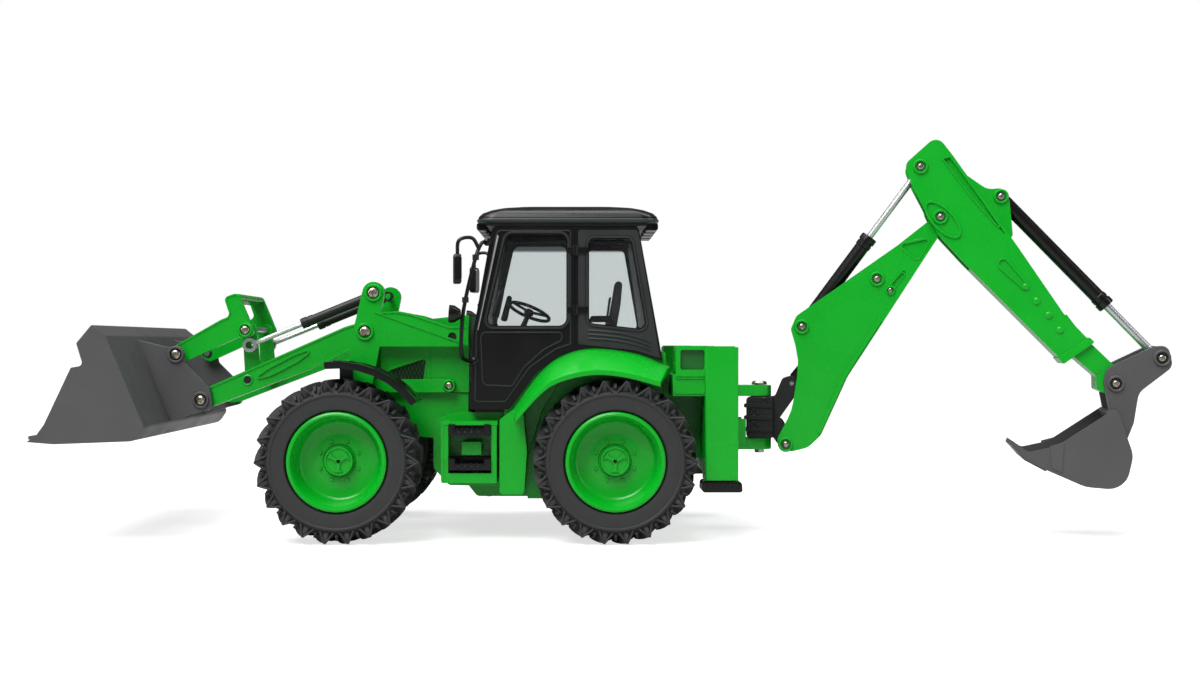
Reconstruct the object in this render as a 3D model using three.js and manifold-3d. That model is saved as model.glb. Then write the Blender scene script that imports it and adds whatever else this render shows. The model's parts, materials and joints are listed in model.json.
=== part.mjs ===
// Toy backhoe loader, about 1:16: four-wheel chassis, cab, front loader and slewing backhoe.
// Millimetres, +Z up. The front loader points to -X, the backhoe to +X, and -Y is the driver's left.
// Side views are drawn in X and Z with the rear axle at X = 0 and the ground at Z = 0, and then
// extruded across Y. The finished group is centred over the middle of its own footprint.
import * as THREE from 'three';
import { mergeVertices } from 'three/addons/utils/BufferGeometryUtils.js';
import Module from 'manifold-3d';

const wasm = await Module();
wasm.setup();

// ---------------------------------------------------------------- driving dimensions
const gap = 0.3; // between pieces that touch
const runGap = 0.5; // between pieces that move past each other
const shellWall = 2.2;
const glazingWall = 1;

const wheelbase = 139.5;
const tyreRadius = 41.5;
const tyreWidth = 30;
const wheelCentreY = 60;
const rimRadius = 25.2;
const axlePinRadius = 2;
const kingpinY = 40;

const spineHalfWidth = 29;
const rearHousingHalfWidth = 41;
const rearHousingTop = 90.5;
const bellyZ = 20;
const deckZ = 65;
const spineBottomZ = 54;
const hoodBottomZ = 75;
const hoodHalfWidth = 30;
const noseHalfWidth = 26;

const cabHalfWidth = 48;
const cabFrontX = -74.7;
const cabRearX = 25.2;
const cabTopZ = 161.3;
const roofCrown = 11.8;
const roofOverhangY = 3;

const loaderBucketWidth = 172;
const loaderArmInnerY = 27.5;
const loaderArmThickness = 6;
const towerInnerY = 34;
const towerThickness = 4;
const rockerInnerY = 18.5;
const rockerThickness = 2.5;
const linkThickness = 3;
const tiltCylinderY = 24.5;

const stabiliserY = 53.5;
const stabiliserSize = 17;
const stabiliserWall = 2;
const restSlew = 12; // degrees, the backhoe rests swung towards the driver's left
const slewAxisX = 81.2;
const boomHalfWidth = 8;
const boomPlate = 0.3 * boomHalfWidth;
const stickHalfWidth = 11;
const stickPlate = 2.6;
const digBucketWidth = 44;
const digEarOuterY = 13;
const digEarThickness = 3;
const bigBarrelRadius = 0.475 * boomHalfWidth; // runs between the boom's plates
const smallBarrelRadius = 2.5;
const barrelWall = 1;

const frontX = (dx) => dx - wheelbase;
const axleZ = tyreRadius;
const armOuterY = loaderArmInnerY + loaderArmThickness;
const towerOuterY = towerInnerY + towerThickness;

// Pivots in the side view: [x, z].
const liftPivot = [frontX(9.3), 107];
const loaderBucketPivot = [frontX(-76.9), 71.2];
const bucketLinkPin = [frontX(-90), 95.1];
const rockerPivot = [frontX(-53.1), 81.6];
const rockerTop = [frontX(-54.9), 108];
const tiltRodEye = [frontX(-53.8), 100];
const tiltBase = [frontX(13.7), 127.4];
// Backhoe pivots: [distance from the slew axis, z].
const boomPivot = [14.9, 46.1];
const boomCylinderBase = [17.9, 79.2];
const boomCylinderEye = [63.4, 135.4];
const stickCylinderBase = [23.6, 109.9];
const stickCylinderEye = [86, 194.6];
const stickPivot = [96.3, 167.8];
const bucketCylinderBase = [127.4, 178.4];
const bucketCylinderEye = [206.2, 93.4];
const digBucketPivot = [183.8, 80.1];

// ---------------------------------------------------------------- finishes
const green = { color: 0x0aa12b, roughness: 0.28, metalness: 0 };
const black = { color: 0x111213, roughness: 0.3, metalness: 0 };
const satinBlack = { color: 0x1b1c1d, roughness: 0.5, metalness: 0 };
const bucketGrey = { color: 0x4c4d4e, roughness: 0.45, metalness: 0.1 };
const tyreRubber = { color: 0x262728, roughness: 0.85, metalness: 0 };
const chrome = { color: 0xc9cccf, roughness: 0.15, metalness: 1 };
const steel = { color: 0x8e9194, roughness: 0.35, metalness: 1 };
const clearPlastic = { color: 0xd8dde0, roughness: 0.08, metalness: 0 };
const boardGreen = { color: 0x14563a, roughness: 0.5, metalness: 0.1 };
const cellBlue = { color: 0x2b4f86, roughness: 0.45, metalness: 0 };

// ---------------------------------------------------------------- solids
const degrees = THREE.MathUtils.degToRad;

function toSolid(geometry) {
  const bare = geometry.clone();
  bare.deleteAttribute('normal');
  bare.deleteAttribute('uv');
  const merged = mergeVertices(bare, 1e-4);
  return new wasm.Manifold(new wasm.Mesh({
    numProp: 3,
    vertProperties: merged.attributes.position.array,
    triVerts: new Uint32Array(merged.index.array),
  }));
}

function toGeometry(solid) {
  const mesh = solid.getMesh();
  const geometry = new THREE.BufferGeometry();
  geometry.setAttribute('position', new THREE.BufferAttribute(mesh.vertProperties, 3));
  geometry.setIndex(new THREE.BufferAttribute(mesh.triVerts, 1));
  return geometry;
}

function join(first, ...others) {
  return toGeometry(others.reduce((sum, other) => sum.add(toSolid(other)), toSolid(first)));
}

function cut(body, ...tools) {
  return toGeometry(tools.reduce((rest, tool) => rest.subtract(toSolid(tool)), toSolid(body)));
}

/** The same piece on the other side of the machine. */
function mirrored(geometry) {
  const copy = geometry.clone();
  copy.deleteAttribute('normal');
  copy.deleteAttribute('uv');
  const indexed = copy.index ? copy : mergeVertices(copy, 1e-4);
  indexed.scale(1, -1, 1);
  const index = indexed.index.array;
  for (let i = 0; i < index.length; i += 3) {
    [index[i + 1], index[i + 2]] = [index[i + 2], index[i + 1]];
  }
  return indexed;
}

/** Corners [x, z, radius] as an outline with the rounds drawn as arcs. */
function rounded(corners, steps = 2) {
  const points = [];
  corners.forEach(([x, z, wanted = 0], i) => {
    const corner = new THREE.Vector2(x, z);
    if (wanted === 0) {
      points.push(corner);
      return;
    }
    const [px, pz] = corners.at(i - 1);
    const [nx, nz] = corners[(i + 1) % corners.length];
    const back = new THREE.Vector2(px, pz).sub(corner);
    const ahead = new THREE.Vector2(nx, nz).sub(corner);
    const shortest = Math.min(back.length(), ahead.length());
    back.normalize();
    ahead.normalize();
    const half = Math.acos(THREE.MathUtils.clamp(back.dot(ahead), -1, 1)) / 2;
    const radius = Math.min(wanted, 0.49 * shortest * Math.tan(half)); // a round never outruns its edges
    const start = corner.clone().addScaledVector(back, radius / Math.tan(half));
    const end = corner.clone().addScaledVector(ahead, radius / Math.tan(half));
    const middle = back.clone().add(ahead).normalize();
    const centre = corner.clone().addScaledVector(middle, radius / Math.sin(half));
    const from = start.sub(centre).angle();
    let turn = end.sub(centre).angle() - from;
    if (turn > Math.PI) turn -= 2 * Math.PI;
    if (turn < -Math.PI) turn += 2 * Math.PI;
    for (let step = 0; step <= steps; step += 1) {
      const angle = from + turn * step / steps;
      points.push(new THREE.Vector2(Math.cos(angle), Math.sin(angle)).multiplyScalar(radius).add(centre));
    }
  });
  return points;
}

/** The corners of an outline moved inwards by a distance; corners run anticlockwise. */
function inset(corners, distance) {
  return corners.map(([x, z, radius = 0], i) => {
    const [px, pz] = corners.at(i - 1);
    const [nx, nz] = corners[(i + 1) % corners.length];
    const before = new THREE.Vector2(x - px, z - pz).normalize();
    const after = new THREE.Vector2(nx - x, nz - z).normalize();
    const inward = new THREE.Vector2(-before.y - after.y, before.x + after.x).normalize();
    const reach = distance / Math.max(0.3, inward.dot(new THREE.Vector2(-before.y, before.x)));
    const convex = before.cross(after) > 0;
    const newRadius = radius === 0 ? 0 : Math.max(0.2, radius + (convex ? -distance : distance));
    return [x + inward.x * reach, z + inward.y * reach, newRadius];
  });
}

/** A side-view outline extruded from y0 to y1, with round holes [x, z, radius]. */
function prism(outline, y0, y1, holes = []) {
  const shape = new THREE.Shape(outline);
  for (const [x, z, radius] of holes) {
    shape.holes.push(new THREE.Path(circle([x, z], radius, 10)));
  }
  const depth = Math.abs(y1 - y0);
  const geometry = new THREE.ExtrudeGeometry(shape, { depth, bevelEnabled: false, curveSegments: 6 });
  geometry.rotateX(Math.PI / 2);
  geometry.translate(0, Math.max(y0, y1), 0);
  return geometry;
}

function circle([x, z], radius, sides) {
  return Array.from({ length: sides }, (_, i) => {
    const angle = 2 * Math.PI * i / sides;
    return new THREE.Vector2(x + radius * Math.cos(angle), z + radius * Math.sin(angle));
  });
}

/** A flat bar with round ends about two pivots. */
function bar([ax, az], aRadius, [bx, bz], bRadius, steps = 4) {
  const along = Math.atan2(bz - az, bx - ax);
  const points = [];
  for (const [x, z, radius, first] of [[bx, bz, bRadius, -90], [ax, az, aRadius, 90]]) {
    for (let step = 0; step <= steps; step += 1) {
      const angle = along + degrees(first + 180 * step / steps);
      points.push(new THREE.Vector2(x + radius * Math.cos(angle), z + radius * Math.sin(angle)));
    }
  }
  return points;
}

/** A round disc or pin lying across the machine. */
function pin(centre, radius, y0, y1, sides = 8) {
  return prism(circle(centre, radius, sides), y0, y1);
}

function box(x0, x1, y0, y1, z0, z1) {
  const geometry = new THREE.BoxGeometry(Math.abs(x1 - x0), Math.abs(y1 - y0), Math.abs(z1 - z0));
  return geometry.translate((x0 + x1) / 2, (y0 + y1) / 2, (z0 + z1) / 2);
}

function post(x, y, radius, z0, z1, sides = 10) {
  const geometry = new THREE.CylinderGeometry(radius, radius, z1 - z0, sides);
  return geometry.rotateX(Math.PI / 2).translate(x, y, (z0 + z1) / 2);
}

/** A round shape turned about a line in the side view; profile is [radius, distance along]. */
function turned(profile, [x0, z0], [x1, z1], y, sides = 10) {
  const points = profile.map(([radius, along]) => new THREE.Vector2(radius, along));
  const geometry = new THREE.LatheGeometry(points, sides);
  const direction = new THREE.Vector3(x1 - x0, 0, z1 - z0).normalize();
  const turn = new THREE.Quaternion().setFromUnitVectors(new THREE.Vector3(0, 1, 0), direction);
  return geometry.applyQuaternion(turn).translate(x0, y, z0);
}

const distance = ([ax, az], [bx, bz]) => Math.hypot(bx - ax, bz - az);

// ---------------------------------------------------------------- the scene graph
const machine = new THREE.Group();
machine.name = 'toy_backhoe_loader';
machine.userData.drawnAt = new THREE.Vector3();

/** A group about a moving piece's pivot. What goes in it is still drawn in machine coordinates. */
function pivotGroup(name, parent, x, y, z) {
  const group = new THREE.Group();
  group.name = name;
  group.userData.drawnAt = new THREE.Vector3(x, y, z);
  group.position.copy(group.userData.drawnAt).sub(parent.userData.drawnAt);
  parent.add(group);
  return group;
}

const hinge = (name, parent, [x, z], y = 0) => pivotGroup(name, parent, x, y, z);

function addPart(group, name, geometry, finish) {
  const mesh = new THREE.Mesh(geometry, new THREE.MeshStandardMaterial(finish));
  mesh.name = name;
  mesh.position.copy(group.userData.drawnAt).negate();
  group.add(mesh);
}

/** The same piece on both sides: drawn once for the right side (+Y). */
function addPair(leftGroup, rightGroup, name, geometry, finish) {
  addPart(rightGroup, `${name}_right`, geometry, finish);
  addPart(leftGroup, `${name}_left`, mirrored(geometry), finish);
}

// ---------------------------------------------------------------- chassis
const stepFrontX = -88;
const stepRearX = -60;
const stepOuterY = 62;
const stepBottomZ = 30;
const stepTopZ = 61;
const rearHousingFrontX = -37;
const rearHousingRearX = 28.6;

const batteryX0 = -62;
const batteryX1 = -18;
const batteryHalfWidth = 20;
const cellRadius = 7.2;
const motorRadius = 8;

function chassisTub() {
  const spineFront = frontX(-14.5);
  const spineRear = -44;
  const spine = prism(rounded([
    [spineFront, spineBottomZ, 3],
    [frontX(12), spineBottomZ],
    [stepFrontX + 2, 50],
    [-80, 30],
    [-72, bellyZ, 3],
    [spineRear, bellyZ],
    [spineRear, deckZ],
    [cabFrontX - 2, deckZ],
    [cabFrontX - 2, hoodBottomZ - gap],
    [spineFront, hoodBottomZ - gap, 3],
  ]), -spineHalfWidth, spineHalfWidth);
  const middle = box(-82, spineRear, -rearHousingHalfWidth, rearHousingHalfWidth, 26, deckZ);
  const rear = prism(rounded([
    [spineRear - 1, bellyZ],
    [20, bellyZ, 8],
    [rearHousingRearX, 32],
    [rearHousingRearX, rearHousingTop],
    [rearHousingFrontX, rearHousingTop],
    [rearHousingFrontX, deckZ],
    [spineRear - 1, deckZ],
  ]), -rearHousingHalfWidth, rearHousingHalfWidth);
  const steps = box(stepFrontX, stepRearX, -stepOuterY, stepOuterY, stepBottomZ, stepTopZ);
  const outer = join(spine, middle, rear, steps);

  const noseRoomHalfWidth = spineHalfWidth - shellWall;
  const noseRoom = box(spineFront + 3, -78, -noseRoomHalfWidth, noseRoomHalfWidth, 57, 90);
  const midRoom = box(-76, spineRear + 1, -38, 38, 32, 90);
  const bellyRoom = box(-68, 22, -26, 26, bellyZ + shellWall, 70);
  const rearRoomHalfWidth = rearHousingHalfWidth - shellWall;
  const rearRoom = box(spineRear, 25, -rearRoomHalfWidth, rearRoomHalfWidth, 38, 130);
  const hatch = box(batteryX0, batteryX1, -batteryHalfWidth, batteryHalfWidth, bellyZ - 1, bellyZ + 4);
  const axleHole = pin([0, axleZ], axlePinRadius + runGap, -60, 60);
  const recess = (side) => (
    box(stepFrontX + 3.4, stepRearX - 2.7, side * 46, side * 70, stepBottomZ + 5, 80));
  return cut(outer, noseRoom, midRoom, bellyRoom, rearRoom, hatch, axleHole, recess(-1), recess(1));
}

function batteryCover() {
  const plate = box(batteryX0 + gap, batteryX1 - gap, -batteryHalfWidth + gap, batteryHalfWidth - gap,
    bellyZ, bellyZ + shellWall);
  const grip = box(batteryX1 - 8, batteryX1 - 6, -7, 7, bellyZ - 1, bellyZ + 0.8);
  return cut(plate, grip);
}

function batteryPack() {
  const cells = [-0.92, 0.92].map((side) => pin([0, 0], cellRadius, -21, 21, 14)
    .rotateZ(Math.PI / 2)
    .translate((batteryX0 + batteryX1) / 2, side * cellRadius, bellyZ + shellWall + gap + cellRadius));
  return join(...cells);
}

function driveGearbox() {
  const housing = prism(rounded([
    [-12, axleZ - 10, 3],
    [13, axleZ - 10, 3],
    [13, axleZ + 12, 3],
    [-12, axleZ + 12, 3],
  ]), -13, 13, [[0, axleZ, axlePinRadius + runGap]]);
  const batteryTop = bellyZ + shellWall + gap + 2 * cellRadius;
  const motorZ = Math.max(axleZ + 5, batteryTop + gap + motorRadius);
  const motor = pin([0, 0], motorRadius, -13, 13, 14).rotateZ(Math.PI / 2).translate(-23, 0, motorZ);
  return join(housing, motor);
}

function controlBoard() {
  const board = box(frontX(20), -84, -20, 20, 78, 79.6);
  const chips = [[-17, 6, 5], [4, 12, 3.5], [-6, 2, 8]].map(([x, y, height]) => (
    box(frontX(40) + x, frontX(40) + x + 9, y - 5, y + 5, 79, 79 + height)));
  const foot = box(frontX(28), frontX(34), -14, 14, 76, 79);
  return join(board, foot, ...chips);
}

// ---------------------------------------------------------------- hood, steps, fenders
function hoodShell() {
  const rearX = cabFrontX - 1.6;
  const nose = (grow) => prism(rounded([
    [frontX(3) + grow, hoodBottomZ - grow * 3],
    [frontX(40), hoodBottomZ - grow * 3],
    [frontX(40), 101 - grow],
    [frontX(9), 99.5 - grow, 2],
    [frontX(3) + grow, 92 - grow, 2],
  ]), -noseHalfWidth + grow, noseHalfWidth - grow);
  const body = (grow) => prism(rounded([
    [frontX(16.5) + grow, hoodBottomZ - grow * 3],
    [rearX - grow, hoodBottomZ - grow * 3],
    [rearX - grow, 116 - grow],
    [frontX(25) + grow, 112 - grow, 4],
    [frontX(16.5) + grow, 103 - grow],
  ]), -hoodHalfWidth + grow, hoodHalfWidth - grow);
  const outer = join(nose(0), body(0));
  const grille = [-1, 1].map((side) => prism(rounded([
    [frontX(19), 86, 1],
    [frontX(25.5), 81.7, 1],
    [frontX(38.9), 80.3, 1],
    [frontX(40.9), 93.2, 1],
  ]), side * (hoodHalfWidth - 0.8), side * (hoodHalfWidth + 1)));
  return cut(outer, nose(shellWall), body(shellWall), ...grille);
}

function stepLadder() {
  const frontEdge = stepFrontX + 3.4 + gap;
  const rearEdge = stepRearX - 2.7 - gap;
  const back = box(frontEdge, rearEdge, 46 + gap, 48, 37, 60);
  const upper = box(frontEdge, rearEdge, 47, stepOuterY + 1.5, 54, 60);
  const lower = box(frontEdge, rearEdge, 47, stepOuterY + 1.5, 36.6, 42.6);
  const tongue = box(-80, -68, 47, stepOuterY - 3, 45, 51);
  const troughs = [54, 36.6].map((z) => (
    box(frontEdge + 1.6, rearEdge - 1.6, 49.6, stepOuterY - 0.2, z + 1.6, z + 9)));
  return cut(join(back, upper, lower, tongue), ...troughs);
}

const fenderOuterY = wheelCentreY + tyreWidth / 2;

/** The arch over a rear wheel: a strip that slopes down and outwards, on a leg ahead of the wheel. */
function rearFender() {
  const innerEdge = new THREE.CatmullRomCurve3([
    [-52.9, 65.7], [-39.4, 84.3], [-27.8, 93.7], [-12, 98], [10.7, 95.5], [29, 88.6],
  ].map(([x, z]) => new THREE.Vector3(x, cabHalfWidth, z)));
  const outerEdge = new THREE.CatmullRomCurve3([
    [-50.1, 63.9], [-38.8, 76.6], [-28.9, 83.6], [-12, 87.6], [5, 86.4], [22.5, 81.8],
  ].map(([x, z]) => new THREE.Vector3(x, fenderOuterY, z)));
  const thickness = 2.2;
  const stations = 9;
  const rings = Array.from({ length: stations + 1 }, (_, i) => {
    const inner = innerEdge.getPoint(i / stations);
    const outer = outerEdge.getPoint(i / stations);
    return [
      new THREE.Vector3(inner.x, rearHousingHalfWidth + gap, inner.z),
      inner,
      outer,
      new THREE.Vector3(outer.x, outer.y, outer.z - thickness),
      new THREE.Vector3(inner.x, inner.y, inner.z - thickness),
      new THREE.Vector3(inner.x, rearHousingHalfWidth + gap, inner.z - thickness),
    ];
  });
  const leg = prism(rounded([
    [-58.7, 24, 2],
    [-46, 24, 2],
    [-44.5, 46],
    [-46.5, 66],
    [-52, 67],
    [-58.7, 62],
  ]), rearHousingHalfWidth + 1 + gap, stepOuterY - 1);
  return join(loft(rings), leg);
}

/** A closed skin through rings of the same number of points. */
function loft(rings) {
  const count = rings[0].length;
  const positions = rings.flat().flatMap((point) => point.toArray());
  const index = [];
  for (let ring = 0; ring < rings.length - 1; ring += 1) {
    for (let i = 0; i < count; i += 1) {
      const a = ring * count + i;
      const b = ring * count + (i + 1) % count;
      index.push(a, a + count, b, b, a + count, b + count);
    }
  }
  const last = (rings.length - 1) * count;
  for (let i = 1; i < count - 1; i += 1) {
    index.push(0, i, i + 1);
    index.push(last, last + i + 1, last + i);
  }
  const geometry = new THREE.BufferGeometry();
  geometry.setAttribute('position', new THREE.Float32BufferAttribute(positions, 3));
  geometry.setIndex(index);
  const volume = toSolid(geometry).volume();
  if (volume < 0) geometry.setIndex(index.map((_, i) => index[i - i % 3 + [0, 2, 1][i % 3]]));
  return geometry;
}

// ---------------------------------------------------------------- cab
// The cab's lower edge runs along its sill and then over the rear wheel arches.
const cabOutline = [
  [cabFrontX, deckZ + 1.8],
  [-54.2, deckZ + 1.8],
  [-40.5, 85.4],
  [-28.6, 94.6],
  [-12, 98.8],
  [10.7, 96.3],
  [cabRearX, 91.6],
  [cabRearX - 12.6, cabTopZ, 3],
  [cabFrontX + 11.7, cabTopZ, 3],
  [cabFrontX + 1.8, 106.8],
];
const doorWindow = [[-66.1, 110.1, 2], [-24.7, 110.1, 2], [-24.7, 157.2, 2.5], [-55.3, 157.2, 2.5]];
const rearSideWindow = [[-12.9, 111.5, 2], [16.5, 108.2, 2], [8.4, 154.8, 2], [-12.9, 154.8, 2]];

function cabShell() {
  const outer = prism(rounded(cabOutline), -cabHalfWidth, cabHalfWidth);
  const innerHalf = cabHalfWidth - shellWall;
  const room = prism(rounded(inset(cabOutline, shellWall)), -innerHalf, innerHalf);
  const floorOpening = box(cabFrontX + shellWall, cabRearX - shellWall, -innerHalf, innerHalf, 60, 104);
  const roofOpening = box(-58, 8, -40, 40, 150, 170);
  const sideWindows = [doorWindow, rearSideWindow].map((window) => prism(rounded(window), -60, 60));
  const endWindow = (x0, x1, z0) => box(x0, x1, -40, 40, z0, 155);
  return cut(outer, room, floorOpening, roofOpening, ...sideWindows,
    endWindow(-90, -50, 108), endWindow(0, 40, 112));
}

/** The clear liner behind the windows: four walls, open above and below. */
function cabGlazing() {
  const [topRear, topFront] = inset(cabOutline, shellWall + gap).slice(7, 9);
  const lowZ = 105;
  const liner = (wall) => prism([
    new THREE.Vector2(cabFrontX + 5 + wall, lowZ - wall),
    new THREE.Vector2(cabRearX - 6.5 - wall, lowZ - wall),
    new THREE.Vector2(topRear[0] - wall, topRear[1] + wall),
    new THREE.Vector2(topFront[0] + wall, topFront[1] + wall),
  ], -cabHalfWidth + shellWall + gap + wall, cabHalfWidth - shellWall - gap - wall);
  return cut(liner(0), liner(glazingWall));
}

function cabRoof() {
  const y = cabHalfWidth + roofOverhangY;
  const outline = [
    [-71.3, 163.2, 1],
    [23.5, 163.2, 1],
    [22, 169.3, 3],
    [4, cabTopZ + roofCrown, 6],
    [-52, cabTopZ + roofCrown, 6],
    [-70, 169.3, 3],
  ];
  const cap = prism(rounded(outline), -y, y);
  const room = box(-62, 14, -y + 4, y - 4, 160, 168.5);
  const skirt = cut(box(-66, 17, -cabHalfWidth - 0.5, cabHalfWidth + 0.5, cabTopZ + gap, 164),
    box(-60, 11, -cabHalfWidth + 4, cabHalfWidth - 4, 160, 166));
  const frontLamps = box(-72, -64.6, -40, 40, 157.8, 163.6);
  const rearLamps = box(15.2, 23.6, -40, 40, 155.6, 163.6);
  return join(cut(join(cap, skirt), room), frontLamps, rearLamps);
}

function cabFloor() {
  const halfWidth = cabHalfWidth - shellWall - gap;
  const rearHalfWidth = rearHousingHalfWidth - 1;
  const front = join(
    box(cabFrontX + shellWall + gap, -56, -halfWidth, halfWidth, deckZ + gap, deckZ + 3),
    box(-57, -41, -rearHalfWidth, rearHalfWidth, deckZ + gap, deckZ + 3));
  const rear = box(-42.5, cabRearX - shellWall - 1.5, -rearHalfWidth, rearHalfWidth,
    rearHousingTop + gap, rearHousingTop + 3);
  const riser = box(-42.5, -40, -rearHalfWidth, rearHalfWidth, deckZ + gap, rearHousingTop + 2);
  const console = prism(rounded([
    [cabFrontX + 5, deckZ + 2],
    [-58, deckZ + 2],
    [-50, 103, 2],
    [cabFrontX + 8, 106, 2],
  ]), -17, 17);
  return join(front, riser, rear, console);
}

const seatX = -4;
const seatBaseZ = rearHousingTop + 3 + gap;

function driverSeat() {
  const pedestal = box(seatX - 11, seatX + 5, -8, 8, seatBaseZ, seatBaseZ + 7);
  const cushion = prism(rounded([
    [seatX - 17, seatBaseZ + 6, 2],
    [seatX + 6, seatBaseZ + 6, 2],
    [seatX + 6, seatBaseZ + 13, 2],
    [seatX - 17, seatBaseZ + 14, 3],
  ]), -13, 13);
  const back = prism(rounded([
    [seatX, seatBaseZ + 8, 1],
    [seatX + 6, seatBaseZ + 8, 1],
    [seatX + 9.5, 134, 3],
    [seatX + 3, 135, 3],
  ]), -13, 13);
  return join(pedestal, cushion, back);
}

function steeringWheel() {
  const wheelTilt = 22;
  const ring = new THREE.TorusGeometry(11.6, 0.9, 5, 16);
  const spokes = [0, 120, 240].map((angle) => box(0, 11.6, -1, 1, -0.5, 0.5).rotateZ(degrees(angle + 90)));
  const hub = post(0, 0, 2.2, -1.5, 1, 10);
  const column = post(0, 0, 1.3, -13, 0, 8);
  return join(ring, hub, column, ...spokes).rotateY(degrees(wheelTilt)).translate(-45.2, 0, 118.3);
}

/** A grab rail bent out from the cab's front pillar, with a mirror head and a lamp clipped to it. */
function mirrorRail() {
  const inY = cabHalfWidth + 2 * gap;
  const path = new THREE.CatmullRomCurve3([
    [-69.4, inY, 145.3], [-73, inY + 6, 144.4], [-77, inY + 11, 138], [-79.3, inY + 12, 118],
    [-79.7, inY + 12, 100], [-77.5, inY + 8, 93], [-72.2, inY, 91.8],
  ].map((point) => new THREE.Vector3(...point)));
  const section = new THREE.Shape(circle([0, 0], 1, 5));
  const rail = new THREE.ExtrudeGeometry(section, { extrudePath: path, steps: 14, bevelEnabled: false });
  const head = box(-81, -77.4, inY + 10, inY + 22, 132, 147);
  const lamp = box(-86, -78.8, inY + 8.5, inY + 15.5, 113, 125);
  return join(rail, head, lamp);
}

// ---------------------------------------------------------------- wheels and steering
function tyre() {
  const half = tyreWidth / 2;
  const inner = rimRadius + gap;
  const profile = [
    [inner, -half + 1], [tyreRadius - 8, -half], [tyreRadius - 3, -half + 1.5],
    [tyreRadius, -half + 6], [tyreRadius, half - 6], [tyreRadius - 3, half - 1.5],
    [tyreRadius - 8, half], [inner, half - 1], [inner, -half + 1],
  ].map(([radius, along]) => new THREE.Vector2(radius, along));
  return new THREE.LatheGeometry(profile, 24);
}

/** Drawn about the Y axis with its outer side towards +Y. */
function rim() {
  const half = tyreWidth / 2;
  const profile = [
    [0, 4], [axlePinRadius + gap, 4], [axlePinRadius + gap, -5], [6.5, -5], [6.5, 0],
    [21, -1], [22.2, -half + 2], [rimRadius, -half + 1], [rimRadius, half - 1],
    [22.6, half - 1], [20.2, 3], [8, 2], [6.8, 7], [0, 7],
  ].map(([radius, along]) => new THREE.Vector2(radius, along));
  return new THREE.LatheGeometry(profile, 16);
}

function addWheel(leftGroup, rightGroup, name, x) {
  for (const [group, side, label] of [[leftGroup, -1, 'left'], [rightGroup, 1, 'right']]) {
    const place = (geometry) => {
      if (side < 0) geometry.rotateZ(Math.PI);
      return geometry.translate(x, side * wheelCentreY, axleZ);
    };
    addPart(group, `${name}_tyre_${label}`, place(tyre()), tyreRubber);
    addPart(group, `${name}_rim_${label}`, place(rim()), green);
  }
}

const wheelPinReach = wheelCentreY + 4 - gap;
const knuckleArmX = frontX(15);

function frontAxleBeam() {
  const beam = box(frontX(-6), frontX(6), -33, 33, axleZ - 5, axleZ + 6);
  const pad = box(frontX(-6), frontX(9), -20, 20, axleZ + 4, spineBottomZ - gap);
  const eyes = [-1, 1].map((side) => join(
    box(frontX(-4.5), frontX(4.5), side * 32, side * kingpinY, axleZ - 2.5, axleZ + 2.5),
    post(frontX(0), side * kingpinY, 4.5, axleZ - 2.5, axleZ + 2.5)));
  const holes = [-1, 1].map((side) => post(frontX(0), side * kingpinY, 2, axleZ - 9, axleZ + 9));
  return cut(join(beam, pad, ...eyes), ...holes);
}

const fenderRadius = 50.5;
const fenderInnerY = 48;

/** Right-hand steering knuckle: yoke, kingpin, wheel pin and track arm. */
function steeringKnuckle() {
  const yoke = [axleZ + 3, axleZ - 6].map((z) => join(
    post(frontX(0), kingpinY, 4.6, z, z + 3),
    box(frontX(-4.6), frontX(4.6), kingpinY, 48.6, z, z + 3)));
  const web = box(frontX(-4.6), frontX(4.6), 45.4, 48.6, axleZ - 6, axleZ + 6);
  const kingpin = post(frontX(0), kingpinY, 1.5, axleZ - 5, axleZ + 5);
  const wheelPin = pin([frontX(0), axleZ], axlePinRadius, 48, wheelPinReach);
  const trackArm = box(frontX(0), knuckleArmX + 2.5, kingpinY - 4, kingpinY, axleZ - 6, axleZ - 3.2);
  const ballPin = post(knuckleArmX, kingpinY - 2, 1.1, axleZ - 4, axleZ + 0.6, 10);
  return join(web, ...yoke, kingpin, wheelPin, trackArm, ballPin);
}

/** Right-hand front fender, on a strut that is screwed to the knuckle so that it steers with the wheel. */
function frontFender() {
  const arc = (radius, from, to, steps) => Array.from({ length: steps + 1 }, (_, i) => {
    const angle = degrees(from + (to - from) * i / steps);
    return new THREE.Vector2(frontX(0) + radius * Math.cos(angle), axleZ + radius * Math.sin(angle));
  });
  const blade = prism([
    ...arc(fenderRadius, 37, 97, 9),
    ...arc(fenderRadius - 2.6, 97, 37, 9),
  ], fenderInnerY, fenderOuterY);
  const strut = box(frontX(-3), frontX(4), 42, 44.6, axleZ + 6 + gap, axleZ + fenderRadius - 1);
  const armTop = axleZ + fenderRadius - 0.4;
  const arm = box(frontX(-3), frontX(4), 42, fenderInnerY + 2, armTop - 2.2, armTop);
  return join(blade, strut, arm);
}

function tieRod() {
  const z = axleZ - 2.6;
  const halfSpan = kingpinY - 2;
  const rod = box(knuckleArmX - 1.6, knuckleArmX + 1.6, -halfSpan + 3, halfSpan - 3, z, z + 2.6);
  const eyes = [-1, 1].map((side) => post(knuckleArmX, side * halfSpan, 4.2, z, z + 2.6));
  const holes = [-1, 1].map((side) => post(knuckleArmX, side * halfSpan, 2.8, z - 1, z + 4));
  return cut(join(rod, ...eyes), ...holes);
}

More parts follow.
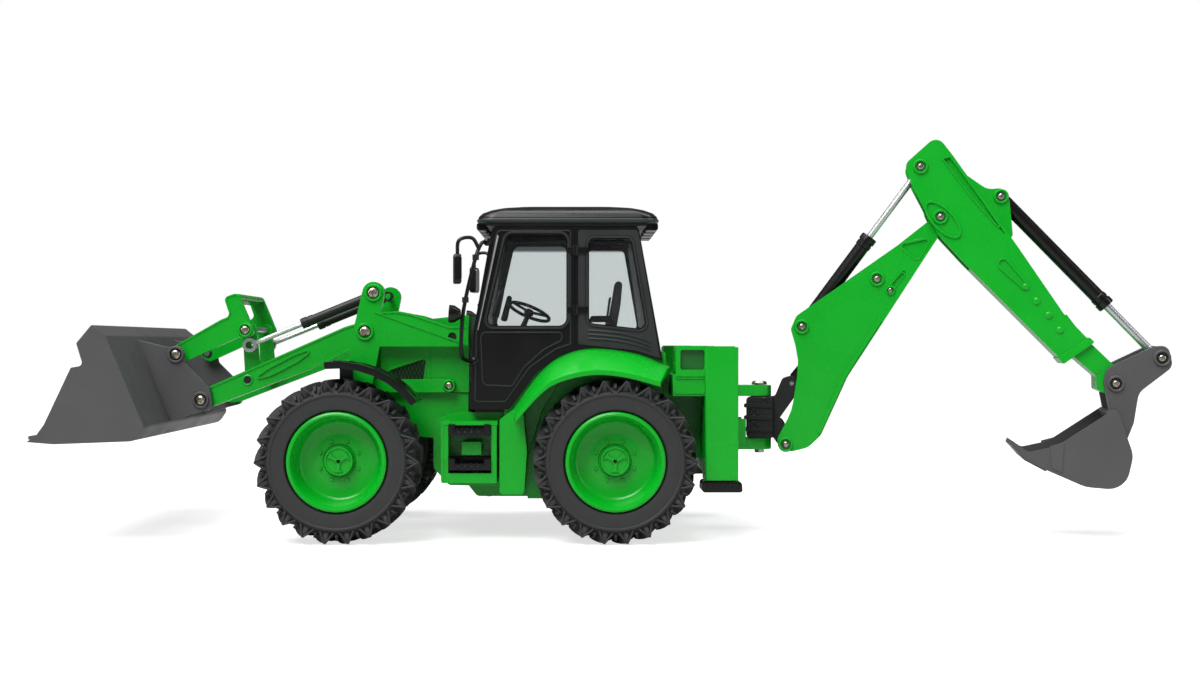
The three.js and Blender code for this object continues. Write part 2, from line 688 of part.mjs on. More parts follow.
// ---------------------------------------------------------------- front loader
/** Right-hand tower: the post with both pivots, the rail back to the cab and the lower brace. */
function loaderTower() {
  const railEndX = cabFrontX - 1.2;
  const plates = join(
    prism(bar(tiltBase, 5.5, liftPivot, 5.6), towerInnerY, towerOuterY),
    prism(rounded([
      [frontX(3.6), 76, 2],
      [frontX(12.4), 76, 2],
      [frontX(17), 100],
      [frontX(18.5), 118],
      [frontX(3.8), 108],
      [frontX(0.4), 92],
    ]), towerInnerY, towerOuterY),
    prism(rounded([
      [frontX(13), 99.3],
      [railEndX, 99.3],
      [railEndX, 110.2],
      [frontX(54), 109.8, 4],
      [frontX(33), 116.7, 5],
      [frontX(26.9), 117.8, 3],
      [frontX(14), 117],
    ]), towerInnerY, towerOuterY));
  const brace = join(
    prism(bar([frontX(8), 78.5], 3.5, [frontX(53), 78.5], 3.5), hoodHalfWidth + gap, towerInnerY - 0.5),
    pin([frontX(8), 79], 3, hoodHalfWidth + gap, towerOuterY - 1));
  const spacer = pin([frontX(55), 104.4], 3, hoodHalfWidth + gap, towerInnerY + 1);
  const tiltPin = pin(tiltBase, 1.5, tiltCylinderY - smallBarrelRadius, towerInnerY + 1);
  const bosses = [tiltBase, liftPivot].map((pivot) => (
    pin(pivot, 4.4, towerOuterY - 1, towerOuterY + 0.8, 10)));
  const liftHole = pin(liftPivot, 2.4, towerInnerY - 1, towerOuterY - 0.8);
  return cut(join(plates, brace, spacer, tiltPin, ...bosses), liftHole);
}

function loaderArms() {
  const tip = loaderBucketPivot;
  const outline = rounded([
    [tip[0] - 5, tip[1] - 3.6, 4],
    [tip[0] + 5.6, tip[1] - 3.4, 3],
    [frontX(-11.7), 90.6, 6],
    [frontX(6), 99.5, 4],
    [frontX(15.6), 106, 5],
    [frontX(9.6), 113, 5],
    [frontX(-2), 109.6, 4],
    [tip[0] + 2.2, tip[1] + 6.3, 4],
    [tip[0] - 5.4, tip[1] + 2.6, 4],
  ]);
  const plates = [-1, 1].map((side) => prism(outline, side * loaderArmInnerY, side * armOuterY));
  const pins = [
    pin(liftPivot, 3, -loaderArmInnerY - 1, loaderArmInnerY + 1),
    pin(liftPivot, 2, -towerOuterY + 1.2, towerOuterY - 1.2),
  ];
  const rockerHole = pin(rockerPivot, 1.9, -40, 40);
  const bucketHole = pin(tip, 2, -40, 40);
  return cut(join(...plates, ...pins), rockerHole, bucketHole);
}

const linkInnerY = 28.2;
const linkOuterY = linkInnerY + linkThickness;
const openPivotHole = 2.9; // the chain of links is open here, so the hole is oversize

/** Two posts on one tube between the loader arms, with the links' cross pin at the top. */
function tiltRocker() {
  const posts = [-1, 1].map((side) => prism(bar(rockerPivot, 4.2, rockerTop, 3.8),
    side * rockerInnerY, side * (rockerInnerY + rockerThickness)));
  const tube = pin(rockerPivot, 3, -loaderArmInnerY + gap, loaderArmInnerY - gap);
  const trunnions = pin(rockerPivot, 1.5, -armOuterY, armOuterY);
  const crossPin = pin(rockerTop, 1.8, -linkOuterY, linkOuterY);
  return join(tube, trunnions, crossPin, ...posts);
}

/** The tipping link: two hooked side plates, tied by a bar above the cross pin. */
function tippingLink() {
  const outline = rounded([
    [bucketLinkPin[0] - 4.4, bucketLinkPin[1] - 1, 3],
    [bucketLinkPin[0] + 1.5, bucketLinkPin[1] - 4.6, 3],
    [rockerTop[0] - 3, rockerTop[1] - 3.6, 2],
    [rockerTop[0] + 5.6, rockerTop[1] - 3.8, 3.5],
    [rockerTop[0] + 1, rockerTop[1] + 8],
    [rockerTop[0] - 4, rockerTop[1] + 19.8, 2],
    [rockerTop[0] - 11.4, rockerTop[1] + 17.2, 2],
    [rockerTop[0] - 8, rockerTop[1] + 7.4, 2],
    [rockerTop[0] - 13, rockerTop[1] + 5.4, 2],
    [bucketLinkPin[0] - 2, bucketLinkPin[1] + 4.6, 3],
  ]);
  const plates = [-1, 1].map((side) => prism(outline, side * linkInnerY, side * linkOuterY));
  const tieFront = [rockerTop[0] - 8, rockerTop[1] + 16];
  const tieRear = [rockerTop[0] - 4.6, rockerTop[1] + 17.4];
  const tie = prism(bar(tieFront, 1.6, tieRear, 1.6), -linkInnerY - 1, linkInnerY + 1);
  const holes = [pin(rockerTop, 2.1, -40, 40), pin(bucketLinkPin, openPivotHole, -40, 40)];
  return cut(join(...plates, tie), ...holes);
}

function loaderBucket() {
  const half = loaderBucketWidth / 2;
  const outline = [
    [frontX(-150.2), 52.4],
    [frontX(-137), 51.3],
    [frontX(-97), 52.8, 5],
    [frontX(-92.3), 59.8, 2],
    [frontX(-111.2), 104.8, 2],
    [frontX(-118), 110.3, 1],
    [frontX(-125.7), 101],
    [frontX(-122.4), 90],
    [frontX(-128.4), 89],
    [frontX(-141.6), 61],
    [frontX(-145.4), 55.8, 1],
  ];
  const outer = prism(rounded(outline), -half, half);
  const room = prism(rounded([
    [frontX(-160), 55],
    [frontX(-137), 54],
    [frontX(-99), 55.4, 4],
    [frontX(-95.6), 60.6, 2],
    [frontX(-113.6), 103.4, 2],
    [frontX(-119), 108],
    [frontX(-119), 150],
    [frontX(-160), 150],
  ]), -half + shellWall, half - shellWall);
  const gussetInnerY = armOuterY + runGap;
  const gusset = prism(rounded([
    [frontX(-96.6), 56],
    [frontX(-94.8), 59.6],
    [loaderBucketPivot[0] - 2, loaderBucketPivot[1] - 6.6, 4],
    [loaderBucketPivot[0] + 6.4, loaderBucketPivot[1] - 4.6, 4],
    [loaderBucketPivot[0] + 4.6, loaderBucketPivot[1] + 6.2, 4],
    [bucketLinkPin[0] + 5, bucketLinkPin[1] - 5, 3],
    [bucketLinkPin[0] + 3.4, bucketLinkPin[1] + 4.4, 3],
    [bucketLinkPin[0] - 5, bucketLinkPin[1] + 4, 3],
    [frontX(-111), 103],
    [frontX(-113), 102],
  ]), gussetInnerY, gussetInnerY + 3);
  const linkStub = pin(bucketLinkPin, 1.4, linkInnerY, gussetInnerY + 1);
  const pivotStub = pin(loaderBucketPivot, 1.7, loaderArmInnerY, gussetInnerY + 1);
  const hangers = join(gusset, linkStub, pivotStub);
  return join(cut(outer, room), hangers, mirrored(hangers));
}

/** A cylinder barrel with its eye at the start pivot and its bore open at the far end. */
function barrel(from, to, length, radius, y) {
  const bore = radius - barrelWall;
  const tube = turned([
    [0, 2.5], [radius, 2.5], [radius, length - 4], [radius * 1.18, length - 4], [radius * 1.18, length],
    [bore, length], [bore, radius + 3.5], [0, radius + 3.5],
  ], from, to, y);
  const eye = pin(from, radius + 0.4, y - radius + 0.2, y + radius - 0.2);
  return cut(join(tube, eye), pin(from, 1.9, y - 10, y + 10));
}

/** A rod that starts inside its barrel and ends in an eye with an oversize hole. */
function rod(from, to, start, radius, eyeRadius, eyeHalfWidth, y) {
  const length = distance(from, to);
  const profile = [[0, start], [radius, start], [radius, length - 1], [0, length - 1]];
  const shaft = turned(profile, from, to, y, 10);
  const eye = pin(to, eyeRadius, y - eyeHalfWidth, y + eyeHalfWidth);
  return cut(join(shaft, eye), pin(to, Math.min(2, eyeRadius - 1.2), y - 10, y + 10));
}

// ---------------------------------------------------------------- rear frame and stabilisers
const frameFrontX = rearHousingRearX + gap;
const tubeInnerY = stabiliserY - stabiliserSize / 2;
const tubeOuterY = stabiliserY + stabiliserSize / 2;
const tubeX0 = 45.8;
const tubeX1 = tubeX0 + stabiliserSize;
const legBottomZ = 25.3;

function rearFrame() {
  const backPlate = box(46.6, 52, -tubeInnerY - 1, tubeInnerY + 1, 34, 98);
  const lowerFrame = box(frameFrontX, 48, -26, 26, 40, 80);
  const sides = [-1, 1].flatMap((side) => [
    box(tubeX0, tubeX1, side * tubeInnerY, side * tubeOuterY, 31.3, 99),
    box(frameFrontX + 0.6, 48, side * 22, side * (tubeOuterY - 3), 74, 85),
    cut(box(31, 47, side * 40, side * (tubeOuterY - 2), 84, 99.7),
      box(33.4, 46.2, side * (tubeOuterY - 5), side * 80, 87.6, 98.4)),
  ]);
  const bores = [-1, 1].map((side) => box(
    tubeX0 + stabiliserWall, tubeX1 - stabiliserWall,
    side * (tubeInnerY + stabiliserWall), side * (tubeOuterY - stabiliserWall), 20, 96.5));
  const window = box(40, 60, -30, 30, 84.5, 92);
  return cut(join(backPlate, lowerFrame, ...sides), ...bores, window);
}

/** Right-hand stabiliser: a leg inside the frame's tube and the foot under it. */
function stabiliserLeg() {
  const slack = stabiliserWall + runGap;
  const leg = box(tubeX0 + slack, tubeX1 - slack, tubeInnerY + slack, tubeOuterY - slack,
    legBottomZ + 4, 92);
  const foot = prism(rounded([
    [tubeX0 - 1.6, legBottomZ, 1],
    [tubeX1 + 2, legBottomZ, 1],
    [tubeX1 + 1.6, legBottomZ + 5.4, 1],
    [tubeX0 - 1.2, legBottomZ + 5.4, 1],
  ]), tubeInnerY - 1.5, tubeOuterY + 1.5);
  return join(leg, foot);
}

const bracketHalfWidth = 6.5;
const lugPlates = [[72.2, 78.1], [43.1, 49.3]];
const trunnionRadius = 2.6;

function kingpostBracket() {
  const plates = lugPlates.map(([z0, z1]) => join(
    box(53, slewAxisX, -bracketHalfWidth, bracketHalfWidth, z0, z1),
    post(slewAxisX, 0, bracketHalfWidth, z0, z1, 12)));
  const web = box(52 + gap, 66, -14, 14, 40, 80);
  const cheek = box(64, 72.6, -11, 11, 44, 60);
  const holes = post(slewAxisX, 0, trunnionRadius + gap, 30, 90);
  const sweep = post(slewAxisX, 0, 13, 49.3, 72.2, 20);
  return cut(join(web, cheek, ...plates), holes, sweep);
}

// ---------------------------------------------------------------- backhoe
// Drawn with X as the distance from the slew axis, then swung as one group.
function swingCasting() {
  const bottom = lugPlates[1][1] + gap;
  const top = lugPlates[0][0] - gap;
  const block = prism(rounded([[-6.4, bottom, 2], [8, bottom], [8, top], [-6.4, top, 2]]), -9, 9);
  const ribs = [53, 59.5, 66].map((z) => box(-7.6, 8, -9.8, 9.8, z, z + 2.2));
  const trunnion = post(0, 0, trunnionRadius, lugPlates[1][0] - 2, lugPlates[0][1] + 0.4);
  const capHead = post(0, 0, 4.2, lugPlates[0][1] + gap, lugPlates[0][1] + 2.2);
  const halfLug = boomHalfWidth - boomPlate - runGap;
  const upperLug = prism(rounded([
    [6.8, 58],
    [11, 60],
    [18, 70],
    [boomCylinderBase[0] + 4.4, boomCylinderBase[1] - 2, 3],
    [boomCylinderBase[0] + 1, boomCylinderBase[1] + 4.6, 3],
    [boomCylinderBase[0] - 5, boomCylinderBase[1] + 3, 3],
    [9, 72.6, 2],
    [6.8, 71.8],
  ]), -halfLug, halfLug);
  const fork = prism(rounded([
    [8, 78, 0],
    [30, 66, 0],
    [30, 90, 0],
    [8, 90, 0],
  ]), -bigBarrelRadius - 0.3, bigBarrelRadius + 0.3);
  const lowerLug = prism(bar([9, 56], 4.6, boomPivot, 3.7), -halfLug, halfLug);
  const pivotPin = pin(boomPivot, 1.7, -boomHalfWidth - 0.6, boomHalfWidth + 0.6);
  const cylinderPin = pin(boomCylinderBase, 1.5, -halfLug, halfLug);
  const body = cut(join(block, ...ribs, upperLug, lowerLug), fork);
  return join(body, trunnion, capHead, pivotPin, cylinderPin);
}

const boomOutline = [
  [10.6, 43.2, 4],
  [18.5, 42.4],
  [26.8, 44.6, 8],
  [33.4, 50.9],
  [47.6, 82.7],
  [65.2, 110.3],
  [95.2, 157.6],
  [101.6, 166.4, 5],
  [94.6, 172.6, 5],
  [stickPivot[0] - 6, stickPivot[1] - 1.7],
  [74, 153.2],
  [20.6, 115.8, 4],
  [17.6, 108.6, 3],
  [22.4, 92, 40],
  [18.2, 64.5],
  [10.6, 49.6, 4],
];

/** Two side plates with a rim between them, open in front for both cylinders. */
function boom() {
  const innerHalf = boomHalfWidth - boomPlate;
  const outer = prism(rounded(boomOutline), -boomHalfWidth, boomHalfWidth);
  const room = prism(rounded(inset(boomOutline, boomPlate)), -innerHalf, innerHalf);
  const opening = (corners) => prism(rounded(corners), -innerHalf, innerHalf);
  const lugOpening = opening([[0, 36], [20, 36], [29, 56], [29, 104], [0, 106]]);
  const eyeOpening = pin(stickCylinderBase, bigBarrelRadius + 2, -innerHalf, innerHalf, 10);
  const barrelOpening = opening([[19, 108], [34, 104], [62, 138], [50, 148], [17, 124]]);
  const tipOpening = opening([[86, 158], [91, 150], [110, 160], [104, 180], [84, 172]]);
  const bosses = [boomPivot, stickCylinderBase, boomCylinderEye].flatMap((pivot) => [-1, 1].map((side) => (
    pin(pivot, 4, side * (boomHalfWidth - 0.5), side * (boomHalfWidth + 0.9), 10))));
  const cylinderPin = pin(stickCylinderBase, 1.5, -boomHalfWidth, boomHalfWidth);
  const openShell = cut(outer, room, lugOpening, eyeOpening, barrelOpening, tipOpening);
  const body = join(openShell, ...bosses, cylinderPin);
  return cut(body, pin(boomPivot, 2, -20, 20), pin(stickPivot, 2, -20, 20));
}

const stickOutline = [
  [77.6, 196, 5],
  [81.5, 185],
  [95, 158.4, 12],
  [107.7, 144.1],
  [156, 93.6],
  [158.6, 91.2, 1],
  [172, 101.4, 1],
  [158.6, 116.1],
  [135.5, 151.5],
  [102, 201],
  [94.5, 211, 5],
];

const tongueHalf = digEarOuterY - digEarThickness - runGap;
const lugHalf = 6.4;

function stick() {
  const outer = prism(rounded(stickOutline), -stickHalfWidth, stickHalfWidth);
  const slotHalf = boomHalfWidth + 0.4;
  const headRoom = prism(rounded([[60, 150], [110, 120], [113, 160], [100, 192], [92, 230], [60, 230]]),
    -slotHalf, slotHalf);
  const bodyRoom = prism(rounded([[112, 152], [110, 147], [150, 104], [154, 108], [131, 144]]),
    -slotHalf + 1.4, slotHalf - 1.4);
  const tongue = prism(rounded([
    [150, 108],
    [158, 99],
    [174.6, 84, 2],
    [174.8, 77, 1],
    [digBucketPivot[0] - 2, digBucketPivot[1] - 6, 4],
    [digBucketPivot[0] + 6.4, digBucketPivot[1] - 1, 5],
    [digBucketPivot[0] + 3, digBucketPivot[1] + 6, 4],
    [168, 105],
    [160, 116],
  ]), -tongueHalf, tongueHalf);
  const lug = prism(rounded([
    [100, 196],
    [112, 170],
    [128, 156],
    [133.6, 156, 3],
    [bucketCylinderBase[0] + 4.4, bucketCylinderBase[1] - 2, 4],
    [bucketCylinderBase[0] + 1, bucketCylinderBase[1] + 4.6, 4],
    [bucketCylinderBase[0] - 7, bucketCylinderBase[1] + 4, 8],
    [106, 193],
  ]), -lugHalf, lugHalf);
  const lugSlot = prism(circle(bucketCylinderBase, 15, 12), -bigBarrelRadius - 0.6, bigBarrelRadius + 0.6);
  const flange = prism(rounded([[155.4, 93.4], [158.2, 90, 1], [173.8, 101.6, 1], [171, 104]]),
    -stickHalfWidth - 1, stickHalfWidth + 1);
  const bosses = [stickPivot, stickCylinderEye].flatMap((pivot) => [-1, 1].map((side) => (
    pin(pivot, 3.8, side * (stickHalfWidth - 0.5), side * (stickHalfWidth + 0.9), 10))));
  const body = join(cut(outer, headRoom, bodyRoom), flange, tongue, cut(lug, headRoom, lugSlot));
  const pivotPin = pin(stickPivot, 1.6, -stickHalfWidth, stickHalfWidth);
  const cylinderPin = pin(bucketCylinderBase, 1.5, -lugHalf, lugHalf);
  return cut(join(body, pivotPin, cylinderPin, ...bosses), pin(digBucketPivot, 2, -20, 20));
}

function diggingBucket() {
  const half = digBucketWidth / 2;
  const outline = [
    [181.2, 66.8],
    [157, 50.6],
    [151, 48.8],
    [139.2, 46.6],
    [130.2, 52.2],
    [129.6, 50.4],
    [137.4, 41.6],
    [149.6, 35.3],
    [167.8, 27.4, 12],
    [187, 26, 11],
    [191, 44, 10],
    [183.4, 66.6],
  ];
  const outer = prism(rounded(outline), -half, half);
  const room = prism(rounded([
    [178.6, 68],
    [180.6, 62],
    [187.4, 43, 8],
    [184.4, 30, 9],
    [168.6, 30, 11],
    [150.6, 37.8],
    [139.2, 43.2],
    [128, 54],
    [128, 75],
    [170, 75],
  ]), -half + shellWall, half - shellWall);
  const ear = prism(rounded([
    [digBucketPivot[0] - 6, digBucketPivot[1] + 1, 5],
    [180.6, 66],
    [184.8, 60],
    [189.6, 52],
    [192.6, 60],
    [195, 75.6, 2],
    [bucketCylinderEye[0] + 5.4, bucketCylinderEye[1] - 4.4, 5],
    [bucketCylinderEye[0] + 3, bucketCylinderEye[1] + 6.4, 5],
    [bucketCylinderEye[0] - 4, bucketCylinderEye[1] + 6, 4],
    [digBucketPivot[0] - 4.4, digBucketPivot[1] + 8, 5],
  ]), digEarOuterY - digEarThickness, digEarOuterY);
  const rings = [digBucketPivot, bucketCylinderEye].map((pivot) => (
    pin(pivot, 4, digEarOuterY - 0.5, digEarOuterY + 0.9, 10)));
  const ears = join(ear, ...rings);
  const pivotPin = pin(digBucketPivot, 1.6, -digEarOuterY, digEarOuterY);
  return join(cut(outer, room), ears, mirrored(ears), pivotPin);
}

// ---------------------------------------------------------------- assembly
addPart(machine, 'chassis_tub', chassisTub(), green);
addPart(machine, 'battery_cover', batteryCover(), green);
addPart(machine, 'battery_pack', batteryPack(), cellBlue);
addPart(machine, 'drive_gearbox', driveGearbox(), satinBlack);
addPart(machine, 'control_board', controlBoard(), boardGreen);
addPart(machine, 'hood', hoodShell(), green);
addPart(machine, 'cab_shell', cabShell(), black);
addPart(machine, 'cab_glazing', cabGlazing(), clearPlastic);
addPart(machine, 'cab_roof', cabRoof(), black);
addPart(machine, 'cab_floor', cabFloor(), satinBlack);
addPart(machine, 'driver_seat', driverSeat(), satinBlack);
addPart(machine, 'steering_wheel', steeringWheel(), black);
addPart(machine, 'front_axle_beam', frontAxleBeam(), satinBlack);
addPart(machine, 'rear_frame', rearFrame(), green);
addPart(machine, 'kingpost_bracket', kingpostBracket(), green);
addPair(machine, machine, 'rear_fender', rearFender(), green);
addPair(machine, machine, 'cab_step', stepLadder(), black);
addPair(machine, machine, 'mirror_rail', mirrorRail(), black);
addPair(machine, machine, 'loader_tower', loaderTower(), green);

const rearAxle = hinge('rear_axle', machine, [0, axleZ]);
addPart(rearAxle, 'rear_axle_shaft', pin([0, axleZ], axlePinRadius, -wheelPinReach, wheelPinReach), steel);
addWheel(rearAxle, rearAxle, 'rear', 0);

const leftKnuckle = hinge('steer_left', machine, [frontX(0), axleZ], -kingpinY);
const rightKnuckle = hinge('steer_right', machine, [frontX(0), axleZ], kingpinY);
addPair(leftKnuckle, rightKnuckle, 'steering_knuckle', steeringKnuckle(), satinBlack);
addPair(leftKnuckle, rightKnuckle, 'front_fender', frontFender(), black);
const leftWheel = hinge('front_wheel_left', leftKnuckle, [frontX(0), axleZ], -wheelCentreY);
const rightWheel = hinge('front_wheel_right', rightKnuckle, [frontX(0), axleZ], wheelCentreY);
addWheel(leftWheel, rightWheel, 'front', frontX(0));
const tieRodGroup = hinge('tie_rod_slide', machine, [knuckleArmX, axleZ]);
addPart(tieRodGroup, 'tie_rod', tieRod(), steel);

const loader = hinge('loader_lift', machine, liftPivot);
addPart(loader, 'loader_arms', loaderArms(), green);
const rocker = hinge('rocker_swing', loader, rockerPivot);
addPart(rocker, 'tilt_rocker', tiltRocker(), green);
const link = hinge('link_swing', rocker, rockerTop);
addPart(link, 'tipping_link', tippingLink(), green);
const bucket = hinge('bucket_tilt', loader, loaderBucketPivot);
addPart(bucket, 'loader_bucket', loaderBucket(), bucketGrey);

const tiltCylinderLength = distance(tiltBase, tiltRodEye);

const tiltBarrelLength = 43;
const tiltBarrels = hinge('tilt_barrel_swing', machine, tiltBase);
const tiltScrews = hinge('tilt_screw_slide', tiltBarrels, tiltBase);
const tiltRods = hinge('tilt_rod_slide', tiltScrews, tiltRodEye);
addPair(tiltBarrels, tiltBarrels, 'tilt_barrel',
  barrel(tiltBase, tiltRodEye, tiltBarrelLength, smallBarrelRadius, tiltCylinderY), satinBlack);
/** A thin round core on the line of the tilt cylinder. */
const tiltCore = (radius, start, end) => turned(
  [[0, start], [radius, start], [radius, end], [0, end]], tiltBase, tiltRodEye, tiltCylinderY, 8);
addPair(tiltScrews, tiltScrews, 'tilt_screw', tiltCore(0.5, 18, 46), steel);
addPair(tiltRods, tiltRods, 'tilt_rod', cut(
  rod(tiltBase, tiltRodEye, 30, 1.3, 3.8, 1.6, tiltCylinderY),
  tiltCore(0.8, 28, tiltCylinderLength - 8),
), chrome);

const leftLeg = hinge('stabiliser_left', machine, [tubeX0, legBottomZ], -stabiliserY);
const rightLeg = hinge('stabiliser_right', machine, [tubeX0, legBottomZ], stabiliserY);
addPair(leftLeg, rightLeg, 'stabiliser_leg', stabiliserLeg(), black);

const swing = pivotGroup('slew', machine, slewAxisX, 0, 0);
swing.rotation.z = -degrees(restSlew);
swing.userData.drawnAt = new THREE.Vector3();
addPart(swing, 'swing_casting', swingCasting(), satinBlack);

const boomGroup = hinge('boom_lift', swing, boomPivot);
addPart(boomGroup, 'boom', boom(), green);
const boomBarrelGroup = hinge('boom_barrel_swing', swing, boomCylinderBase);
const boomRodGroup = hinge('boom_rod_slide', boomBarrelGroup, boomCylinderEye);
addPart(boomBarrelGroup, 'boom_cylinder_barrel',
  barrel(boomCylinderBase, boomCylinderEye, 50, bigBarrelRadius, 0), satinBlack);
addPart(boomRodGroup, 'boom_cylinder_rod',
  rod(boomCylinderBase, boomCylinderEye, 26, 1.8, 3.8, 3, 0), chrome);

const stickGroup = hinge('stick_swing', boomGroup, stickPivot);
addPart(stickGroup, 'stick', stick(), green);
const stickBarrelGroup = hinge('stick_barrel_swing', boomGroup, stickCylinderBase);
const stickRodGroup = hinge('stick_rod_slide', stickBarrelGroup, stickCylinderEye);
addPart(stickBarrelGroup, 'stick_cylinder_barrel',
  barrel(stickCylinderBase, stickCylinderEye, 60.5, bigBarrelRadius, 0), satinBlack);
addPart(stickRodGroup, 'stick_cylinder_rod',
  rod(stickCylinderBase, stickCylinderEye, 30, 1.8, 3.8, 3, 0), chrome);

const digBucketGroup = hinge('dig_bucket_curl', stickGroup, digBucketPivot);
addPart(digBucketGroup, 'digging_bucket', diggingBucket(), bucketGrey);
const bucketBarrelGroup = hinge('bucket_barrel_swing', stickGroup, bucketCylinderBase);
const bucketRodGroup = hinge('bucket_rod_slide', bucketBarrelGroup, bucketCylinderEye);
addPart(bucketBarrelGroup, 'bucket_cylinder_barrel',
  barrel(bucketCylinderBase, bucketCylinderEye, 79, bigBarrelRadius, 0), satinBlack);
addPart(bucketRodGroup, 'bucket_cylinder_rod',
  rod(bucketCylinderBase, bucketCylinderEye, 40, 2.1, 3.8, 3, 0), chrome);

// Stand the machine over the origin: the middle of its footprint, tyres on Z = 0.
machine.updateMatrixWorld(true);
const extent = new THREE.Box3().setFromObject(machine, true);
const centre = extent.getCenter(new THREE.Vector3());
machine.position.set(-centre.x, -centre.y, -extent.min.z);

export default machine;
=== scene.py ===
"""Visual model of the toy backhoe loader: refined pieces over the CAD frame, materials, light and camera."""
import json
import math
import bmesh
import bpy
from mathutils import Matrix, Vector


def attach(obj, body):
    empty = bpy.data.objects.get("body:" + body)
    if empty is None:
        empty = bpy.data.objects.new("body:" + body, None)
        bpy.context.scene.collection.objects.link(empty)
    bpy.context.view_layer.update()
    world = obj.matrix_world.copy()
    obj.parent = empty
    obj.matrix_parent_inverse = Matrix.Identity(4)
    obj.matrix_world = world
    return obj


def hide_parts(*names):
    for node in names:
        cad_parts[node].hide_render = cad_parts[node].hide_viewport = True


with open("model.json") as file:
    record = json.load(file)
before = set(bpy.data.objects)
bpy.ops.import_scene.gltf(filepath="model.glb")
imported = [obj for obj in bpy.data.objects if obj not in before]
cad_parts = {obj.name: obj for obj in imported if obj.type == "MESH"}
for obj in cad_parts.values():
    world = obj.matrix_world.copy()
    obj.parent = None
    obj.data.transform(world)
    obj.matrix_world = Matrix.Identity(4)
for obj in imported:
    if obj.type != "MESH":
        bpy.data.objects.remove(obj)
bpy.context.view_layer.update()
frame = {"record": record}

# ---------------------------------------------------------------- the frame's own measures, in mm
MM = 0.001
JOINTS = {joint["name"]: joint for joint in frame["record"]["behaviour"]["joints"]}


def pivot(name):
    """A joint's place in mm."""
    return Vector(JOINTS[name]["pos_m"]) / MM


AXLE = pivot("rear_axle_spin")
SLEW = pivot("slew")
REST_SLEW = math.radians(12)
WHEELBASE = AXLE.x - pivot("steer_left").x
AXLE_Z = AXLE.z
WHEEL_Y = abs(pivot("front_left_spin").y)
TYRE_RADIUS = AXLE_Z
TYRE_HALF = 15
RIM_RADIUS = 25.2
CAB_HALF = 48
CAB_FRONT = -74.7
CAB_REAR = 25.2
CAB_TOP = 161.3
DECK_Z = 65
WALL = 2.2
GAP = 0.3


def front_x(dx):
    """The X of a place dx behind the front axle."""
    return dx - WHEELBASE


def from_front(corners):
    """An outline measured from the front axle, moved to the machine's own X."""
    return [(front_x(x), *rest) for x, *rest in corners]


def near(point, dx, dz, *radius):
    """A corner given by its offset from a pivot."""
    return (point[0] + dx, point[1] + dz, *radius)


# Pivots as (X, Z); those of the backhoe are (distance behind the slew axis, Z).
LIFT = (front_x(9.3), 107)
BUCKET_PIVOT = (front_x(-76.9), 71.2)
LINK_PIN = (front_x(-90), 95.1)
ROCKER = (front_x(-53.1), 81.6)
ROCKER_TOP = (front_x(-54.9), 108)
TILT_EYE = (front_x(-53.8), 100)
TILT_BASE = (front_x(13.7), 127.4)
BOOM_PIVOT = (14.9, 46.1)
BOOM_CYL = (17.9, 79.2)
BOOM_EYE = (63.4, 135.4)
STICK_CYL = (23.6, 109.9)
STICK_EYE = (86, 194.6)
STICK_PIVOT = (96.3, 167.8)
DIG_CYL = (127.4, 178.4)
DIG_EYE = (206.2, 93.4)
DIG_PIVOT = (183.8, 80.1)


# ---------------------------------------------------------------- solids: (vertices, faces)
def arc_points(centre, radius, start, turn):
    """Points along an arc, about ten degrees apart."""
    steps = max(2, round(abs(turn) / math.radians(10)))
    return [(centre[0] + radius * math.cos(start + turn * i / steps),
             centre[1] + radius * math.sin(start + turn * i / steps)) for i in range(steps + 1)]


def rounded(corners):
    """Corners (x, z, radius) as an outline whose rounds are arcs."""
    points = []
    for i, corner in enumerate(corners):
        at = Vector(corner[:2])
        wanted = corner[2] if len(corner) > 2 else 0
        if not wanted:
            points.append(tuple(at))
            continue
        back = Vector(corners[i - 1][:2]) - at
        ahead = Vector(corners[(i + 1) % len(corners)][:2]) - at
        shortest = min(back.length, ahead.length)
        back.normalize()
        ahead.normalize()
        half = math.acos(max(-1, min(1, back.dot(ahead)))) / 2
        radius = min(wanted, 0.49 * shortest * math.tan(half))
        centre = at + (back + ahead).normalized() * (radius / math.sin(half))
        first = at + back * (radius / math.tan(half)) - centre
        last = at + ahead * (radius / math.tan(half)) - centre
        start = math.atan2(first.y, first.x)
        turn = math.atan2(last.y, last.x) - start
        turn = (turn + math.pi) % (2 * math.pi) - math.pi
        points += arc_points(centre, radius, start, turn)
    return points


def inset(corners, distance):
    """The corners of an anticlockwise outline moved inwards."""
    moved = []
    for i, corner in enumerate(corners):
        at = Vector(corner[:2])
        before = (at - Vector(corners[i - 1][:2])).normalized()
        after = (Vector(corners[(i + 1) % len(corners)][:2]) - at).normalized()
        inward = Vector((-before.y - after.y, before.x + after.x)).normalized()
        reach = distance / max(0.3, inward.dot(Vector((-before.y, before.x))))
        radius = corner[2] if len(corner) > 2 else 0
        if radius:
            convex = before.cross(after) > 0
            radius = max(0.2, radius - distance if convex else radius + distance)
        moved.append((at.x + inward.x * reach, at.y + inward.y * reach, radius))
    return moved


def circle(centre, radius, sides=32):
    """Corners of a regular outline about a centre."""
    return [(centre[0] + radius * math.cos(2 * math.pi * i / sides),
             centre[1] + radius * math.sin(2 * math.pi * i / sides)) for i in range(sides)]


def bar(a, a_radius, b, b_radius):
    """A flat bar with round ends about two points."""
    along = math.atan2(b[1] - a[1], b[0] - a[0])
    return (arc_points(b, b_radius, along - math.pi / 2, math.pi)
            + arc_points(a, a_radius, along + math.pi / 2, math.pi))


